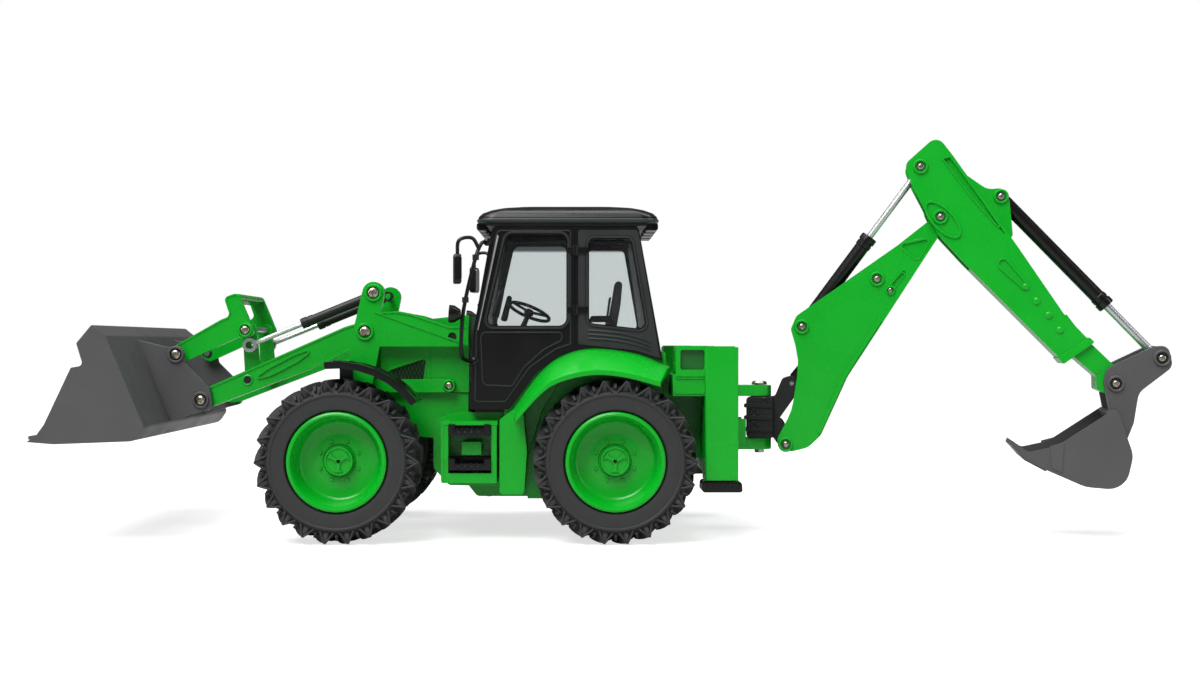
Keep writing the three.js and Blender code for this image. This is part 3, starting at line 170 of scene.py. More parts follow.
def prism(outline, y0, y1):
    """An outline in X and Z carried from y0 to y1."""
    count = len(outline)
    low, high = sorted((y0, y1))
    vertices = [(x, low, z) for x, z in outline] + [(x, high, z) for x, z in outline]
    faces = [list(range(count)), list(range(2 * count - 1, count - 1, -1))]
    faces += [[i, count + i, count + (i + 1) % count, (i + 1) % count] for i in range(count)]
    return vertices, faces


def slab(corners, y0, y1):
    """A prism whose corners are rounded by their own radii."""
    return prism(rounded(corners), y0, y1)


def pin(centre, radius, y0, y1, sides=32):
    """A round bar across the machine."""
    return prism(circle(centre, radius, sides), y0, y1)


def box(x0, x1, y0, y1, z0, z1):
    """A box between two corners."""
    return prism([(x0, z0), (x1, z0), (x1, z1), (x0, z1)], y0, y1)


def loft(rings, closed=False):
    """A skin through rings with the same number of points, with flat ends unless it closes on itself."""
    count = len(rings[0])
    vertices = [tuple(point) for ring in rings for point in ring]
    faces = []
    spans = len(rings) if closed else len(rings) - 1
    for ring in range(spans):
        after = (ring + 1) % len(rings)
        for i in range(count):
            j = (i + 1) % count
            faces.append([ring * count + i, after * count + i, after * count + j, ring * count + j])
    if not closed:
        last = (len(rings) - 1) * count
        faces.append(list(range(count))[::-1])
        faces.append([last + i for i in range(count)])
    return vertices, faces


def turned(profile, start, direction, sides=32, closed=False):
    """A round shape about a line; profile is (radius, distance along the line)."""
    turn = Vector((0, 0, 1)).rotation_difference(Vector(direction).normalized())
    start = Vector(start)
    rings = []
    for radius, along in profile:
        ring = []
        for i in range(sides):
            angle = 2 * math.pi * i / sides
            point = Vector((max(radius, 0.001) * math.cos(angle), max(radius, 0.001) * math.sin(angle),
                            along))
            ring.append(tuple(start + turn @ point))
        rings.append(ring)
    return loft(rings, closed)


def tube(path, radius, sides=12):
    """A round tube through a list of points."""
    points = [Vector(point) for point in path]
    rings = []
    side = None
    for i, point in enumerate(points):
        along = (points[min(i + 1, len(points) - 1)] - points[max(i - 1, 0)]).normalized()
        if side is None:
            side = along.orthogonal().normalized()
        side = (side - along * side.dot(along)).normalized()
        other = along.cross(side)
        rings.append([tuple(point + radius * (side * math.cos(2 * math.pi * k / sides)
                                              + other * math.sin(2 * math.pi * k / sides)))
                      for k in range(sides)])
    return loft(rings)


def smooth_path(points, steps=8):
    """A Catmull-Rom curve through the points."""
    points = [Vector(point) for point in points]
    ends = [2 * points[0] - points[1]] + points + [2 * points[-1] - points[-2]]
    path = []
    for i in range(1, len(ends) - 2):
        a, b, c, d = ends[i - 1:i + 3]
        for step in range(steps):
            t = step / steps
            path.append(0.5 * (2 * b + (c - a) * t + (2 * a - 5 * b + 4 * c - d) * t * t
                               + (3 * b - a - 3 * c + d) * t ** 3))
    return path + [points[-1]]


def merge(*solids):
    """Several solids kept as separate shells of one."""
    vertices, faces = [], []
    for part_vertices, part_faces in solids:
        start = len(vertices)
        vertices += part_vertices
        faces += [[start + i for i in face] for face in part_faces]
    return vertices, faces


def moved(solid, matrix):
    """The solid carried by a matrix."""
    return [tuple(matrix @ Vector(vertex)) for vertex in solid[0]], solid[1]


def mirrored(solid):
    """The solid on the other side of the machine."""
    return [(x, -y, z) for x, y, z in solid[0]], [face[::-1] for face in solid[1]]


def both(solid):
    """The solid and its mirror image."""
    return merge(solid, mirrored(solid))


def solid_mesh(solid):
    """A mesh of the solid with shared corners and faces pointing out."""
    mesh = bpy.data.meshes.new("solid")
    mesh.from_pydata(solid[0], [], solid[1])
    bm = bmesh.new()
    bm.from_mesh(mesh)
    bmesh.ops.remove_doubles(bm, verts=bm.verts, dist=0.004)
    bmesh.ops.recalc_face_normals(bm, faces=bm.faces)
    bm.to_mesh(mesh)
    bm.free()
    return mesh


def boolean(body, tools, operation):
    """The body after each tool is taken away from it, or added to it."""
    holder = bpy.data.objects.new("body", solid_mesh(body))
    bpy.context.scene.collection.objects.link(holder)
    others = []
    for tool in tools:
        other = bpy.data.objects.new("tool", solid_mesh(tool))
        bpy.context.scene.collection.objects.link(other)
        others.append(other)
        modifier = holder.modifiers.new("step", "BOOLEAN")
        modifier.operation = operation
        modifier.object = other
        modifier.solver = "MANIFOLD"
    bpy.context.view_layer.update()
    result = bpy.data.meshes.new_from_object(holder.evaluated_get(bpy.context.evaluated_depsgraph_get()))
    solid = ([tuple(vertex.co) for vertex in result.vertices],
             [list(polygon.vertices) for polygon in result.polygons])
    for used in [holder, *others]:
        mesh = used.data
        bpy.data.objects.remove(used)
        bpy.data.meshes.remove(mesh)
    bpy.data.meshes.remove(result)
    return solid


def cut(body, *tools):
    """The solid less all the others."""
    return boolean(body, tools, "DIFFERENCE")


def fused(body, *others):
    """All the solids as one."""
    return boolean(body, others, "UNION")


def bevelled(solid, width):
    """A bmesh of the solid with its sharp edges rounded."""
    mesh = solid_mesh(solid)
    bm = bmesh.new()
    bm.from_mesh(mesh)
    bpy.data.meshes.remove(mesh)
    if width:
        bmesh.ops.dissolve_limit(bm, angle_limit=math.radians(0.5), verts=bm.verts, edges=bm.edges)
        sharp = [edge for edge in bm.edges if edge.is_manifold and edge.calc_face_angle(0) > math.radians(32)]
        bmesh.ops.bevel(bm, geom=sharp, offset=width, offset_type="OFFSET", segments=2, profile=0.6,
                        affect="EDGES", clamp_overlap=True)
    return bm


def piece(name, body, nodes, layers, swung=False):
    """One visual piece from (solid, material, bevel) layers, standing for CAD nodes and riding on a body."""
    whole = bmesh.new()
    materials = []
    for solid, material, width in layers:
        if material not in materials:
            materials.append(material)
        part = bevelled(solid, width)
        for face in part.faces:
            face.material_index = materials.index(material)
            face.smooth = True
        mesh = bpy.data.meshes.new("layer")
        part.to_mesh(mesh)
        part.free()
        whole.from_mesh(mesh)
        bpy.data.meshes.remove(mesh)
    if swung:
        place = Matrix.Translation(SLEW) @ Matrix.Rotation(-REST_SLEW, 4, "Z")
    else:
        place = Matrix.Translation((AXLE.x, 0, 0))
    whole.transform(Matrix.Scale(MM, 4) @ place)
    mesh = bpy.data.meshes.new(name)
    whole.to_mesh(mesh)
    whole.free()
    for material in materials:
        mesh.materials.append(material)
    mesh.set_sharp_from_angle(angle=math.radians(38))
    obj = bpy.data.objects.new(name, mesh)
    bpy.context.scene.collection.objects.link(obj)
    weighted = obj.modifiers.new("even shading", "WEIGHTED_NORMAL")
    weighted.keep_sharp = True
    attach(obj, body)
    if nodes:
        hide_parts(*nodes)
    return obj


def side_pieces(name, body, node, layers):
    """The left and the right piece, from layers drawn on the right (+Y) side; {} stands for the side."""
    for side in ("left", "right"):
        own = [(mirrored(solid) if side == "left" else solid, material, width) for solid, material,
               width in layers]
        piece(name.format(side), body.format(side), [node.format(side)], own)


# ---------------------------------------------------------------- materials
def preset(node, values):
    """Fill a node's named inputs."""
    for name, value in values.items():
        node.inputs[name].default_value = value


def surface(name, colour, rough, grain=0.1, grain_size=2500, metallic=0.0, coat=0.0, drift=0.12,
            drift_size=60, brushed=False, ior=1.5):
    """A finish with drifting colour and roughness and a fine grain; constants sit on the sockets."""
    material = bpy.data.materials.new(name)
    material.use_nodes = True
    nodes, links = material.node_tree.nodes, material.node_tree.links
    shader = nodes["Principled BSDF"]
    preset(shader, {"Metallic": metallic, "Coat Weight": coat, "Coat Roughness": 0.05, "IOR": ior})
    place = nodes.new("ShaderNodeTexCoord")
    stretch = nodes.new("ShaderNodeMapping")
    links.new(place.outputs["Object"], stretch.inputs["Vector"])
    if brushed:
        stretch.inputs["Scale"].default_value = (1.0, 1.0, 8.0)
    large = nodes.new("ShaderNodeTexNoise")
    preset(large, {"Scale": drift_size, "Detail": 4})
    fine = nodes.new("ShaderNodeTexNoise")
    preset(fine, {"Scale": grain_size, "Detail": 3})
    for noise in (large, fine):
        links.new(stretch.outputs["Vector"], noise.inputs["Vector"])
    tone = nodes.new("ShaderNodeMix")
    tone.data_type = "RGBA"
    links.new(large.outputs["Fac"], tone.inputs["Factor"])
    preset(tone, {"A": (*[c * (1 - drift) for c in colour], 1),
                  "B": (*[min(1, c * (1 + drift)) for c in colour], 1)})
    links.new(tone.outputs["Result"], shader.inputs["Base Color"])
    spread = nodes.new("ShaderNodeMapRange")
    links.new(large.outputs["Fac"], spread.inputs["Value"])
    preset(spread, {"From Min": 0.3, "From Max": 0.7, "To Min": rough[0], "To Max": rough[1]})
    links.new(spread.outputs["Result"], shader.inputs["Roughness"])
    if grain:
        relief = nodes.new("ShaderNodeBump")
        preset(relief, {"Strength": grain, "Distance": 0.0002})
        links.new(fine.outputs["Fac"], relief.inputs["Height"])
        links.new(relief.outputs["Normal"], shader.inputs["Normal"])
    return material


GREEN = surface("green_gloss", (0.001, 0.345, 0.014), (0.24, 0.32), grain=0.02, coat=0.08, drift=0.05,
                ior=1.38)
# A darker copy of the green used as painted shade in recesses: boss-ring floors, behind the hood mesh and
# inside the rear housings.
SHADE_GREEN = surface("green_painted_recess_shade", (0.004, 0.12, 0.012), (0.3, 0.42), grain=0.1, drift=0.1)
BLACK = surface("black_gloss", (0.0018, 0.0018, 0.002), (0.26, 0.36), grain=0.02, coat=0.08, drift=0.2,
                ior=1.36)
SATIN = surface("black_satin", (0.007, 0.007, 0.0075), (0.38, 0.5), grain=0.12, drift=0.2, ior=1.4)
GREY = surface("bucket_grey", (0.064, 0.064, 0.066), (0.36, 0.48), grain=0.15, grain_size=1500, drift=0.08)
# Dark grey for panels, also used on the cab beads as painted highlight.
PANEL_GREY_AND_HIGHLIGHT = surface("side_panel_grey_and_painted_highlight", (0.022, 0.024, 0.025), (0.3, 0.42), grain=0.08, drift=0.15, ior=1.42)
RUBBER = surface("tyre_rubber", (0.016, 0.016, 0.017), (0.6, 0.78), grain=0.3, grain_size=1100, drift=0.2,
                 drift_size=90)
CHROME = surface("rod_chrome", (0.6, 0.61, 0.62), (0.34, 0.42), grain=0.0, metallic=1, drift=0.05)
STEEL = surface("drawn_steel", (0.48, 0.48, 0.49), (0.26, 0.4), grain=0.15, metallic=1, brushed=True)
SCREW = surface("screw_zinc", (0.4, 0.36, 0.29), (0.22, 0.36), grain=0.1, metallic=1, drift=0.12,
                drift_size=300)
BOARD = surface("solder_mask", (0.01, 0.12, 0.05), (0.3, 0.45), grain=0.4, grain_size=900)
WRAP = surface("shrink_wrap", (0.03, 0.08, 0.25), (0.25, 0.4), grain=0.3, grain_size=500)
MIRROR = surface("mirror_face", (0.7, 0.72, 0.74), (0.03, 0.08), grain=0.0, metallic=1, drift=0.03)
LENS = surface("lamp_lens", (0.55, 0.56, 0.56), (0.08, 0.16), grain=0.3, grain_size=700, coat=0.5)


DARK_BAND_FROM = 0.1535  # height in metres where the darker band at the top of the windows begins


def window_material():
    """Clear plastic that is darker in a band along its upper edge."""
    material = bpy.data.materials.new("clear_window")
    material.use_nodes = True
    nodes, links = material.node_tree.nodes, material.node_tree.links
    out = nodes["Material Output"]
    nodes.remove(nodes["Principled BSDF"])
    place = nodes.new("ShaderNodeTexCoord")
    height = nodes.new("ShaderNodeSeparateXYZ")
    links.new(place.outputs["Object"], height.inputs["Vector"])
    band = nodes.new("ShaderNodeMapRange")
    links.new(height.outputs["Z"], band.inputs["Value"])
    preset(band, {"From Min": DARK_BAND_FROM, "From Max": DARK_BAND_FROM + 0.0015})
    tint = nodes.new("ShaderNodeMix")
    tint.data_type = "RGBA"
    preset(tint, {"A": (0.88, 0.9, 0.9, 1), "B": (0.3, 0.31, 0.32, 1)})
    links.new(band.outputs["Result"], tint.inputs["Factor"])
    haze = nodes.new("ShaderNodeTexNoise")
    haze.inputs["Scale"].default_value = 45
    links.new(place.outputs["Object"], haze.inputs["Vector"])
    level = nodes.new("ShaderNodeMapRange")
    links.new(haze.outputs["Fac"], level.inputs["Value"])
    preset(level, {"To Min": 0.18, "To Max": 0.3})
    clear = nodes.new("ShaderNodeBsdfTransparent")
    links.new(tint.outputs["Result"], clear.inputs["Color"])
    shine = nodes.new("ShaderNodeBsdfGlossy")
    links.new(level.outputs["Result"], shine.inputs["Roughness"])
    edge = nodes.new("ShaderNodeFresnel")
    edge.inputs["IOR"].default_value = 1.45
    mix = nodes.new("ShaderNodeMixShader")
    links.new(edge.outputs["Fac"], mix.inputs["Fac"])
    links.new(clear.outputs["BSDF"], mix.inputs[1])
    links.new(shine.outputs["BSDF"], mix.inputs[2])
    links.new(mix.outputs["Shader"], out.inputs["Surface"])
    return material


WINDOW = window_material()

# CAD nodes that stay as they are and only get a finish.
KEPT = {
    "battery_cover": GREEN, "battery_pack": WRAP, "drive_gearbox": SATIN, "control_board": BOARD,
    "cab_glazing": WINDOW, "cab_floor": SATIN, "front_axle_beam": SATIN, "rear_axle_shaft": STEEL,
    "steering_knuckle_left": SATIN, "steering_knuckle_right": SATIN, "tie_rod": STEEL,
    "tilt_screw_left": STEEL, "tilt_screw_right": STEEL,
}
for node, material in KEPT.items():
    mesh = bpy.data.objects[node].data
    mesh.materials.clear()
    mesh.materials.append(material)


# ---------------------------------------------------------------- shared details
def screw_solid():
    """A pan-head screw with a cross recess, head radius 1, facing -Y, seated at Y = 0."""
    head = turned([(0, 0.1), (1, 0.1), (1, -0.2), (0.86, -0.38), (0.55, -0.48), (0, -0.52)],
                  (0, 0, 0), (0, 1, 0), 24)
    slots = [box(-0.7, 0.7, -1, -0.14, -0.15, 0.15), box(-0.15, 0.15, -1, -0.14, -0.7, 0.7)]
    return cut(head, *slots)


SCREW_SOLID = screw_solid()


def screw(centre, face_y, radius=2.1):
    """A screw on the outer face at face_y; its head points away from the middle plane."""
    side = 1 if face_y < 0 else -1
    turn = Matrix.Rotation(math.radians(22 + 31 * centre[0] % 90), 4, "Y")
    flip = Matrix.Identity(4) if side > 0 else Matrix.Rotation(math.pi, 4, "Z")
    place = Matrix.Translation((centre[0], face_y, centre[1])) @ flip @ turn @ Matrix.Scale(radius, 4)
    return moved(SCREW_SOLID, place)


def boss(centre, face_y, radius=4.2, height=1.2):
    """A raised ring round a screw, with its rims rolled over."""
    side = -1 if face_y < 0 else 1
    inner = radius * 0.72
    profile = [(inner, -0.6), (radius + 0.25, -0.6), (radius + 0.1, height * 0.6), (radius - 0.3, height),
               (inner + 0.35, height), (inner, height * 0.7)]
    return turned(profile, (centre[0], face_y, centre[1]), (0, side, 0), 40, closed=True)


def well(centre, face_y, radius):
    """A dark disc of painted shade on the floor inside a boss ring."""
    side = -1 if face_y < 0 else 1
    return pin(centre, radius * 0.75, face_y - side * 0.2, face_y + side * 0.12)


def band(corners, outer, inner, y0, y1):
    """A raised strip that follows an outline between two insets of it."""
    first = rounded(inset(corners, outer)) if outer else rounded(corners)
    ring = []
    middle = inset([(x, z) for x, z in first], inner - outer)
    for (x, z), (ix, iz, _) in zip(first, middle):
        ring.append([(x, y0, z), (x, y1, z), (ix, y1, iz), (ix, y0, iz)])
    return loft(ring, closed=True)


def bosses_with_screws(centres, face_y, radius=4.2, head=2.3):
    """Boss rings, screws and dark discs of painted shade on the ring floors, on both sides of the machine."""
    rings = merge(*[boss(c, side * face_y, radius) for c in centres for side in (-1, 1)])
    heads = merge(*[screw(c, side * (face_y + 0.2), head) for c in centres for side in (-1, 1)])
    shade_discs = merge(*[well(c, side * face_y, radius) for c in centres for side in (-1, 1)])
    return rings, heads, shade_discs


# ---------------------------------------------------------------- wheels
LUGS = 22


def around_wheel(solid, angle):
    return moved(solid, Matrix.Rotation(angle, 4, "Y"))


def tyre_solids():
    """Carcass and tread of one tyre about the Y axis: lugs, ribs on the shoulder and small nubs."""
    half = [(25.5, 12.6), (26.4, 14.0), (28.5, 14.3), (32.9, 14.4), (33.4, 14.85), (34.2, 14.85),
            (34.7, 14.2),
            (36.6, 12.4), (38.1, 9.5), (38.8, 5.5)]
    profile = half + [(radius, -along) for radius, along in reversed(half)]
    carcass = turned(profile, (0, 0, 0), (0, 1, 0), 96, closed=True)
    # Stations down one lug: reach round the wheel, half widths at root and top, root and top as (radius, y).
    stations = [
        (0.0, 2.9, 1.5, (37, -0.8), (41.4, -0.8)), (1.9, 3.0, 1.5, (37, 4.5), (41.5, 4.5)),
        (4.0, 3.3, 1.5, (36.5, 8.8), (41.3, 9.6)), (5.4, 3.6, 1.3, (35, 10.5), (41.0, 13.0)),
        (5.8, 3.7, 1.1, (34.2, 11), (40.4, 14.4)), (6.0, 3.6, 1.0, (33.6, 11.4), (38.4, 14.6)),
        (6.2, 2.6, 0.8, (33, 11.6), (36.4, 14.2)),
    ]
    rings = []
    for reach, root_half, top_half, root, top in stations:
        corners = [(root, -root_half), (root, root_half), (top, top_half), (top, -top_half)]
        ring = []
        for (radius, y), across in corners:
            angle = (reach + across) / TYRE_RADIUS
            ring.append((radius * math.sin(angle), y, radius * math.cos(angle)))
        rings.append(ring)
    lug = loft(rings)
    ribs = []
    for side in (-1, 1):
        # Points down one rib: reach round the wheel, radius, y.
        path = [(6.0, 41.0, 14.1), (6.1 + side * 1.6, 38.6, 14.4), (6.2 + side * 3.2, 36.4, 14.0),
                (6.3 + side * 4.2, 35.0, 14.0)]
        ribs.append(tube([(radius * math.sin(reach / TYRE_RADIUS), y,
                           radius * math.cos(reach / TYRE_RADIUS))
                          for reach, radius, y in path], 0.62, 6))
    lug = merge(lug, *ribs)
    nub = loft([[(r * math.sin(a), y, r * math.cos(a)) for a, y in
                 ((-0.026, 11), (0.026, 11), (0.016, top), (-0.016, top))]
                for r, top in ((36.2, 13.2), (37.2, 14.2), (38.8, 13.4), (39.6, 11.6))])
    tread = []
    for k in range(LUGS):
        for side, shift in ((1, 0), (-1, 0.5)):
            angle = 2 * math.pi * (k + shift) / LUGS
            for solid, offset in ((lug, 0), (nub, math.pi / LUGS + 0.145)):
                shape = solid if side > 0 else mirrored(solid)
                tread.append(around_wheel(shape, angle + offset))
    return carcass, merge(*tread)


def rim_solids():
    """One rim about the Y axis with its outer side towards +Y: (dish, hub details, bolts)."""
    profile = [
        (25.2, -12), (25.2, 13.2), (24.9, 14.0), (24.0, 14.4), (23.2, 14.2), (22.6, 13.2), (21.9, 11.2),
        (21.2, 7.2), (20.6, 4.6), (19.6, 3.4), (18.4, 2.9), (13.6, 2.4), (12.6, 2.9), (8.6, 2.9),
        (8.1, 2.4),
        (7.7, 2.4), (7.5, 6.2), (7.1, 6.9), (6.4, 6.9), (6.1, 6.2), (0, 6.2), (0, 3), (19.4, 1), (21.4, 3),
        (22.8, -12),
    ]
    dish = turned(profile, (0, 0, 0), (0, 1, 0), 96)
    spokes = [around_wheel(fused(slab([(-0.8, 0), (0.8, 0), (0.65, 5), (-0.65, 5)], 5.8, 7.3),
                                 slab([(-0.65, 4.2), (0.65, 4.2), (2.2, 5.6), (-2.2, 5.6)], 5.8, 7.1)),
                           math.radians(120 * k + 60)) for k in range(3)]
    hub = merge(turned([(0, 5.8), (1.5, 5.8), (1.5, 7.0), (1.1, 7.3), (0, 7.3)], (0, 0, 0), (0, 1, 0), 24),
                *spokes)
    bolts = merge(*[turned([(0, 2.4), (1.0, 2.4), (1.0, 3.5), (0.7, 3.8), (0, 3.8)],
                           (10.4 * math.cos(a), 0, 10.4 * math.sin(a)), (0, 1, 0), 6)
                    for a in [2 * math.pi * (k + 0.5) / 8 for k in range(8)]])
    return dish, hub, bolts


CARCASS, TREAD = tyre_solids()
DISH, HUB, BOLTS = rim_solids()
for end, x in (("front", front_x(0)), ("rear", 0)):
    for side, name in ((-1, "left"), (1, "right")):
        turn = Matrix.Rotation(math.pi, 4, "Z") if side < 0 else Matrix.Identity(4)
        place = Matrix.Translation((x, side * WHEEL_Y, AXLE_Z)) @ turn
        body = "rear_axle" if end == "rear" else f"front_wheel_{name}"
        piece(f"{end}_tyre_{name}_lugged", body, [f"{end}_tyre_{name}"], [
            (moved(CARCASS, place), RUBBER, 0), (moved(TREAD, place), RUBBER, 0.22)])
        piece(f"{end}_rim_{name}_dished", body, [f"{end}_rim_{name}"], [
            (moved(DISH, place), GREEN, 0), (moved(HUB, place), GREEN, 0.25),
            (moved(BOLTS, place), GREEN, 0)])

# ---------------------------------------------------------------- chassis, steps and fenders
STEP_X0, STEP_X1 = -88, -60
STEP_OUT = 62


def chassis_layers():
    """Tub with its step boxes, wheel-house ribs, seams and belly screws."""
    spine = slab([(front_x(-14.5), 54, 3), (front_x(12), 54, 2), (STEP_X0 + 2, 50, 2), (-80, 30, 2),
                  (-72, 20, 3),
                  (-44, 20), (-44, DECK_Z), (-76.7, DECK_Z), (-76.7, 74.7), (front_x(-14.5), 74.7, 3)],
                 -29, 29)
    middle = slab([(-94, 36, 3), (-86, 27, 3), (-43, 26), (-43, DECK_Z), (-82, DECK_Z), (-94, 61, 2)], -41,
                  41)
    rear = slab([(-45, 20), (20, 20, 8), (28.6, 32, 3), (28.6, 90.5), (-37, 90.5), (-37, DECK_Z),
                 (-45, DECK_Z)],
                -41, 41)
    steps = box(STEP_X0, STEP_X1, -STEP_OUT, STEP_OUT, 30, 61)
    outer = fused(spine, middle, rear, steps)
    recess = [box(STEP_X0 + 3.4, STEP_X1 - 2.7, side * 46, side * 70, 35, 80) for side in (-1, 1)]
    rooms = [box(-150, -78, -26.8, 26.8, 57, 90), box(-76, -43, -38, 38, 32, 90),
             box(-68, 22, -26, 26, 22.2, 70),
             box(-44, 25, -38.8, 38.8, 38, 130), box(-62, -18, -20, 20, 18, 24),
             pin((0, AXLE_Z), 2.5, -60, 60)]
    shell = cut(outer, *rooms, *recess)
    ribs = both(merge(*[box(-37 + 9 * k, -35.6 + 9 * k, 41, 41.6, 30, 84) for k in (0, 6, 7)]))
    seam = both(merge(box(STEP_X0 - 0.4, STEP_X1 + 0.4, 58.4, STEP_OUT + 0.3, 59.4, 61.3),
                      box(STEP_X0 - 0.3, STEP_X0 + 1.2, STEP_OUT - 0.4, STEP_OUT + 0.3, 31, 60)))
    blocks = both(slab([(-78.2, 43.8, 0.8), (-68, 43.8, 0.8), (-68, 50.8, 0.8), (-78.2, 50.8, 0.8)], 45,
                       57))
    screws = merge(*[moved(SCREW_SOLID, Matrix.Translation((x, y, 20.1)) @ Matrix.Rotation(-math.pi / 2, 4,
                                                                                           "X")
                           @ Matrix.Rotation(math.pi, 4, "X") @ Matrix.Scale(1.8, 4))
                     for x in (-66, 12) for y in (-23, 23)])
    return [(shell, GREEN, 0.7), (ribs, GREEN, 0.25), (seam, GREEN, 0.25), (blocks, GREEN, 0.5),
            (screws, SCREW, 0)]


piece("chassis_moulding", "root", ["chassis_tub"], chassis_layers())


def hood_layers():
    """Hood with side mesh windows, nose slats, vents and lamps."""
    rear_x = CAB_FRONT - 1.6
    nose = [(front_x(3), 75), (front_x(40), 75), (front_x(40), 101), (front_x(9), 99.5, 5),
            (front_x(3), 92, 4)]
    body = [(front_x(16.5), 75), (rear_x, 75), (rear_x, 116), (front_x(25), 112, 8),
            (front_x(16.5), 103, 4)]
    outer = fused(slab(nose, -26, 26), slab(body, -30, 30))
    rooms = [slab(inset(nose, WALL), -23.8, 23.8), slab(inset(body, WALL), -27.8, 27.8),
             box(front_x(6), rear_x - WALL, -23.8, 23.8, 70, 80)]
    grille = from_front([(19, 86, 1.5), (25.5, 81.7, 1.5), (38.9, 80.3, 1.5), (40.9, 93.2, 1.5)])
    recess = [slab(grille, side * 28.4, side * 31) for side in (-1, 1)]
    shell = cut(outer, *rooms, *recess)
    frame_strip = both(band(grille, -0.9, 0.1, 29.8, 30.5))
    bars = []
    for k in range(16):
        x = front_x(12 + 2 * k)
        for lean in (7, -7):
            bars.append(slab([(x, 79), (x + 0.55, 79), (x + 0.55 + lean, 94), (x + lean, 94)], 28.8, 29.5))
    window = slab(inset(grille, 0.2), 20, 40)
    mesh_bars = [boolean(bar_solid, [window], "INTERSECT") for bar_solid in bars]
    mesh_bars = both(merge(*[solid for solid in mesh_bars if solid[0]]))
    # Darker green sheet behind the mesh bars: painted shade in the grille recess.
    painted_shade_backing = both(slab(inset(grille, 0.1), 28.3, 28.7))
    seam = both(box(front_x(42.4), front_x(43), 29.8, 30.35, 80, 99))
    crease = both(slab([(front_x(24), 104.6), (rear_x - 2, 107), (rear_x - 2, 108), (front_x(24), 105.6)],
                       29.8, 30.5))
    vents = merge(*[box(front_x(30 + 5 * k), front_x(32.4 + 5 * k), -17, 17, 112.5, 114.3)
                    for k in range(5)])
    slats = merge(*[box(front_x(2.4), front_x(3.4), -21, 21, 77.4 + 3 * k, 79 + 3 * k) for k in range(5)])
    lamps = both(turned([(0, 0), (3.6, 0), (3.6, 1), (2.8, 1.6), (0, 1.9)], (front_x(3.4), 19, 95),
                        (-1, 0, 0.2), 24))
    return [(shell, GREEN, 0.8), (frame_strip, GREEN, 0.2), (mesh_bars, SATIN, 0), (painted_shade_backing, SHADE_GREEN, 0),
            (crease, GREEN, 0.3), (seam, GREEN, 0.1), (vents, SATIN, 0.4), (slats, SATIN, 0.3),
            (lamps, LENS, 0)]


piece("hood_moulding", "root", ["hood"], hood_layers())


def step_layers():
    """Two trough-shaped treads with grip bars and grip studs."""
    x0, x1 = STEP_X0 + 3.7, STEP_X1 - 3
    treads, grips = [], []
    for low in (54, 36.6):
        tread = box(x0, x1, 46.4, STEP_OUT + 1.5, low, low + 6)
        trough = box(x0 + 1.8, x1 - 1.8, 47.6, STEP_OUT - 0.2, low + 2.4, low + 9)
        notch = box(x0 + 3.4, x1 - 3.4, STEP_OUT - 4, STEP_OUT + 3, low + 3.4, low + 9)
        treads.append(cut(tread, trough, notch))
        grips += [box(x0 + 2.6 + 2.7 * k, x0 + 3.8 + 2.7 * k, 48, STEP_OUT - 0.6, low + 2, low + 3.2)
                  for k in range(7)]
        grips += [turned([(0, -0.3), (0.8, -0.3), (0.6, 0.4), (0, 0.6)],
                         (x0 + 5 + 3.4 * k, STEP_OUT + 1.5, low + 1.7), (0, 1, 0), 12) for k in range(4)]
    return [(merge(*treads), BLACK, 0.5), (merge(*grips), SATIN, 0.2)]


side_pieces("step_ladder_{}", "root", "cab_step_{}", step_layers())


def rear_fender_layers():
    """Arch over the rear wheel, with the leg in front of it and the walls behind it."""
    inner = smooth_path([(x, CAB_HALF, z) for x, z in
                         [(-52.9, 65.7), (-39.4, 84.3), (-27.8, 93.7), (-12, 98), (10.7, 95.5),
                          (29, 88.6)]])
    outer = smooth_path([(x, WHEEL_Y + TYRE_HALF, z) for x, z in
                         [(-50.1, 63.9), (-38.8, 76.6), (-28.9, 83.6), (-12, 87.6), (5, 86.4),
                          (22.5, 81.8)]])
    rings = []
    for a, b in zip(inner, outer):
        crease = a.lerp(b, 0.28) + Vector((0, 0, 1.3))
        top = [Vector((a.x, 41.3, a.z)), a + Vector((0, 0, 0.2)), crease,
               a.lerp(b, 0.6) + Vector((0, 0, 1.0)),
               a.lerp(b, 0.86) + Vector((0, 0, 0.3)), b, b + Vector((0, 0.0, -2.6))]
        under = [b + Vector((0, -1.8, -2.6)), b + Vector((0, -1.8, -1.4)),
                 a.lerp(b, 0.5) + Vector((0, 0, -1.6)),
                 a + Vector((0, 0, -2.2)), Vector((a.x, 41.3, a.z - 2.2))]
        rings.append([tuple(point) for point in top + under])
    leg = slab([(-58.7, 24, 2), (-46, 24, 2), (-44.5, 46, 6), (-46.5, 66, 2), (-52, 67, 2), (-58.7, 62, 2)],
               42.3, STEP_OUT - 1)
    skirt = slab([(-57, 62), (-37, 79), (-26, 87), (-12, 92), (10, 90), (27, 85), (27, 96), (10, 102),
                  (-12, 105),
                  (-30, 101), (-44, 90), (-57, 73)], 44.4, 45.6)
    wall = slab([(-58, 60), (-45, 40), (-37, 66, 6), (-26, 84, 6), (-12, 89, 6), (-12, 95), (-27.8, 92),
                 (-39.4, 82.6), (-53, 65)], 41.3, 43.4)
    return [(loft(rings), GREEN, 0.4), (merge(leg, wall, skirt), GREEN, 0.7)]


side_pieces("rear_fender_{}_smooth", "root", "rear_fender_{}", rear_fender_layers())


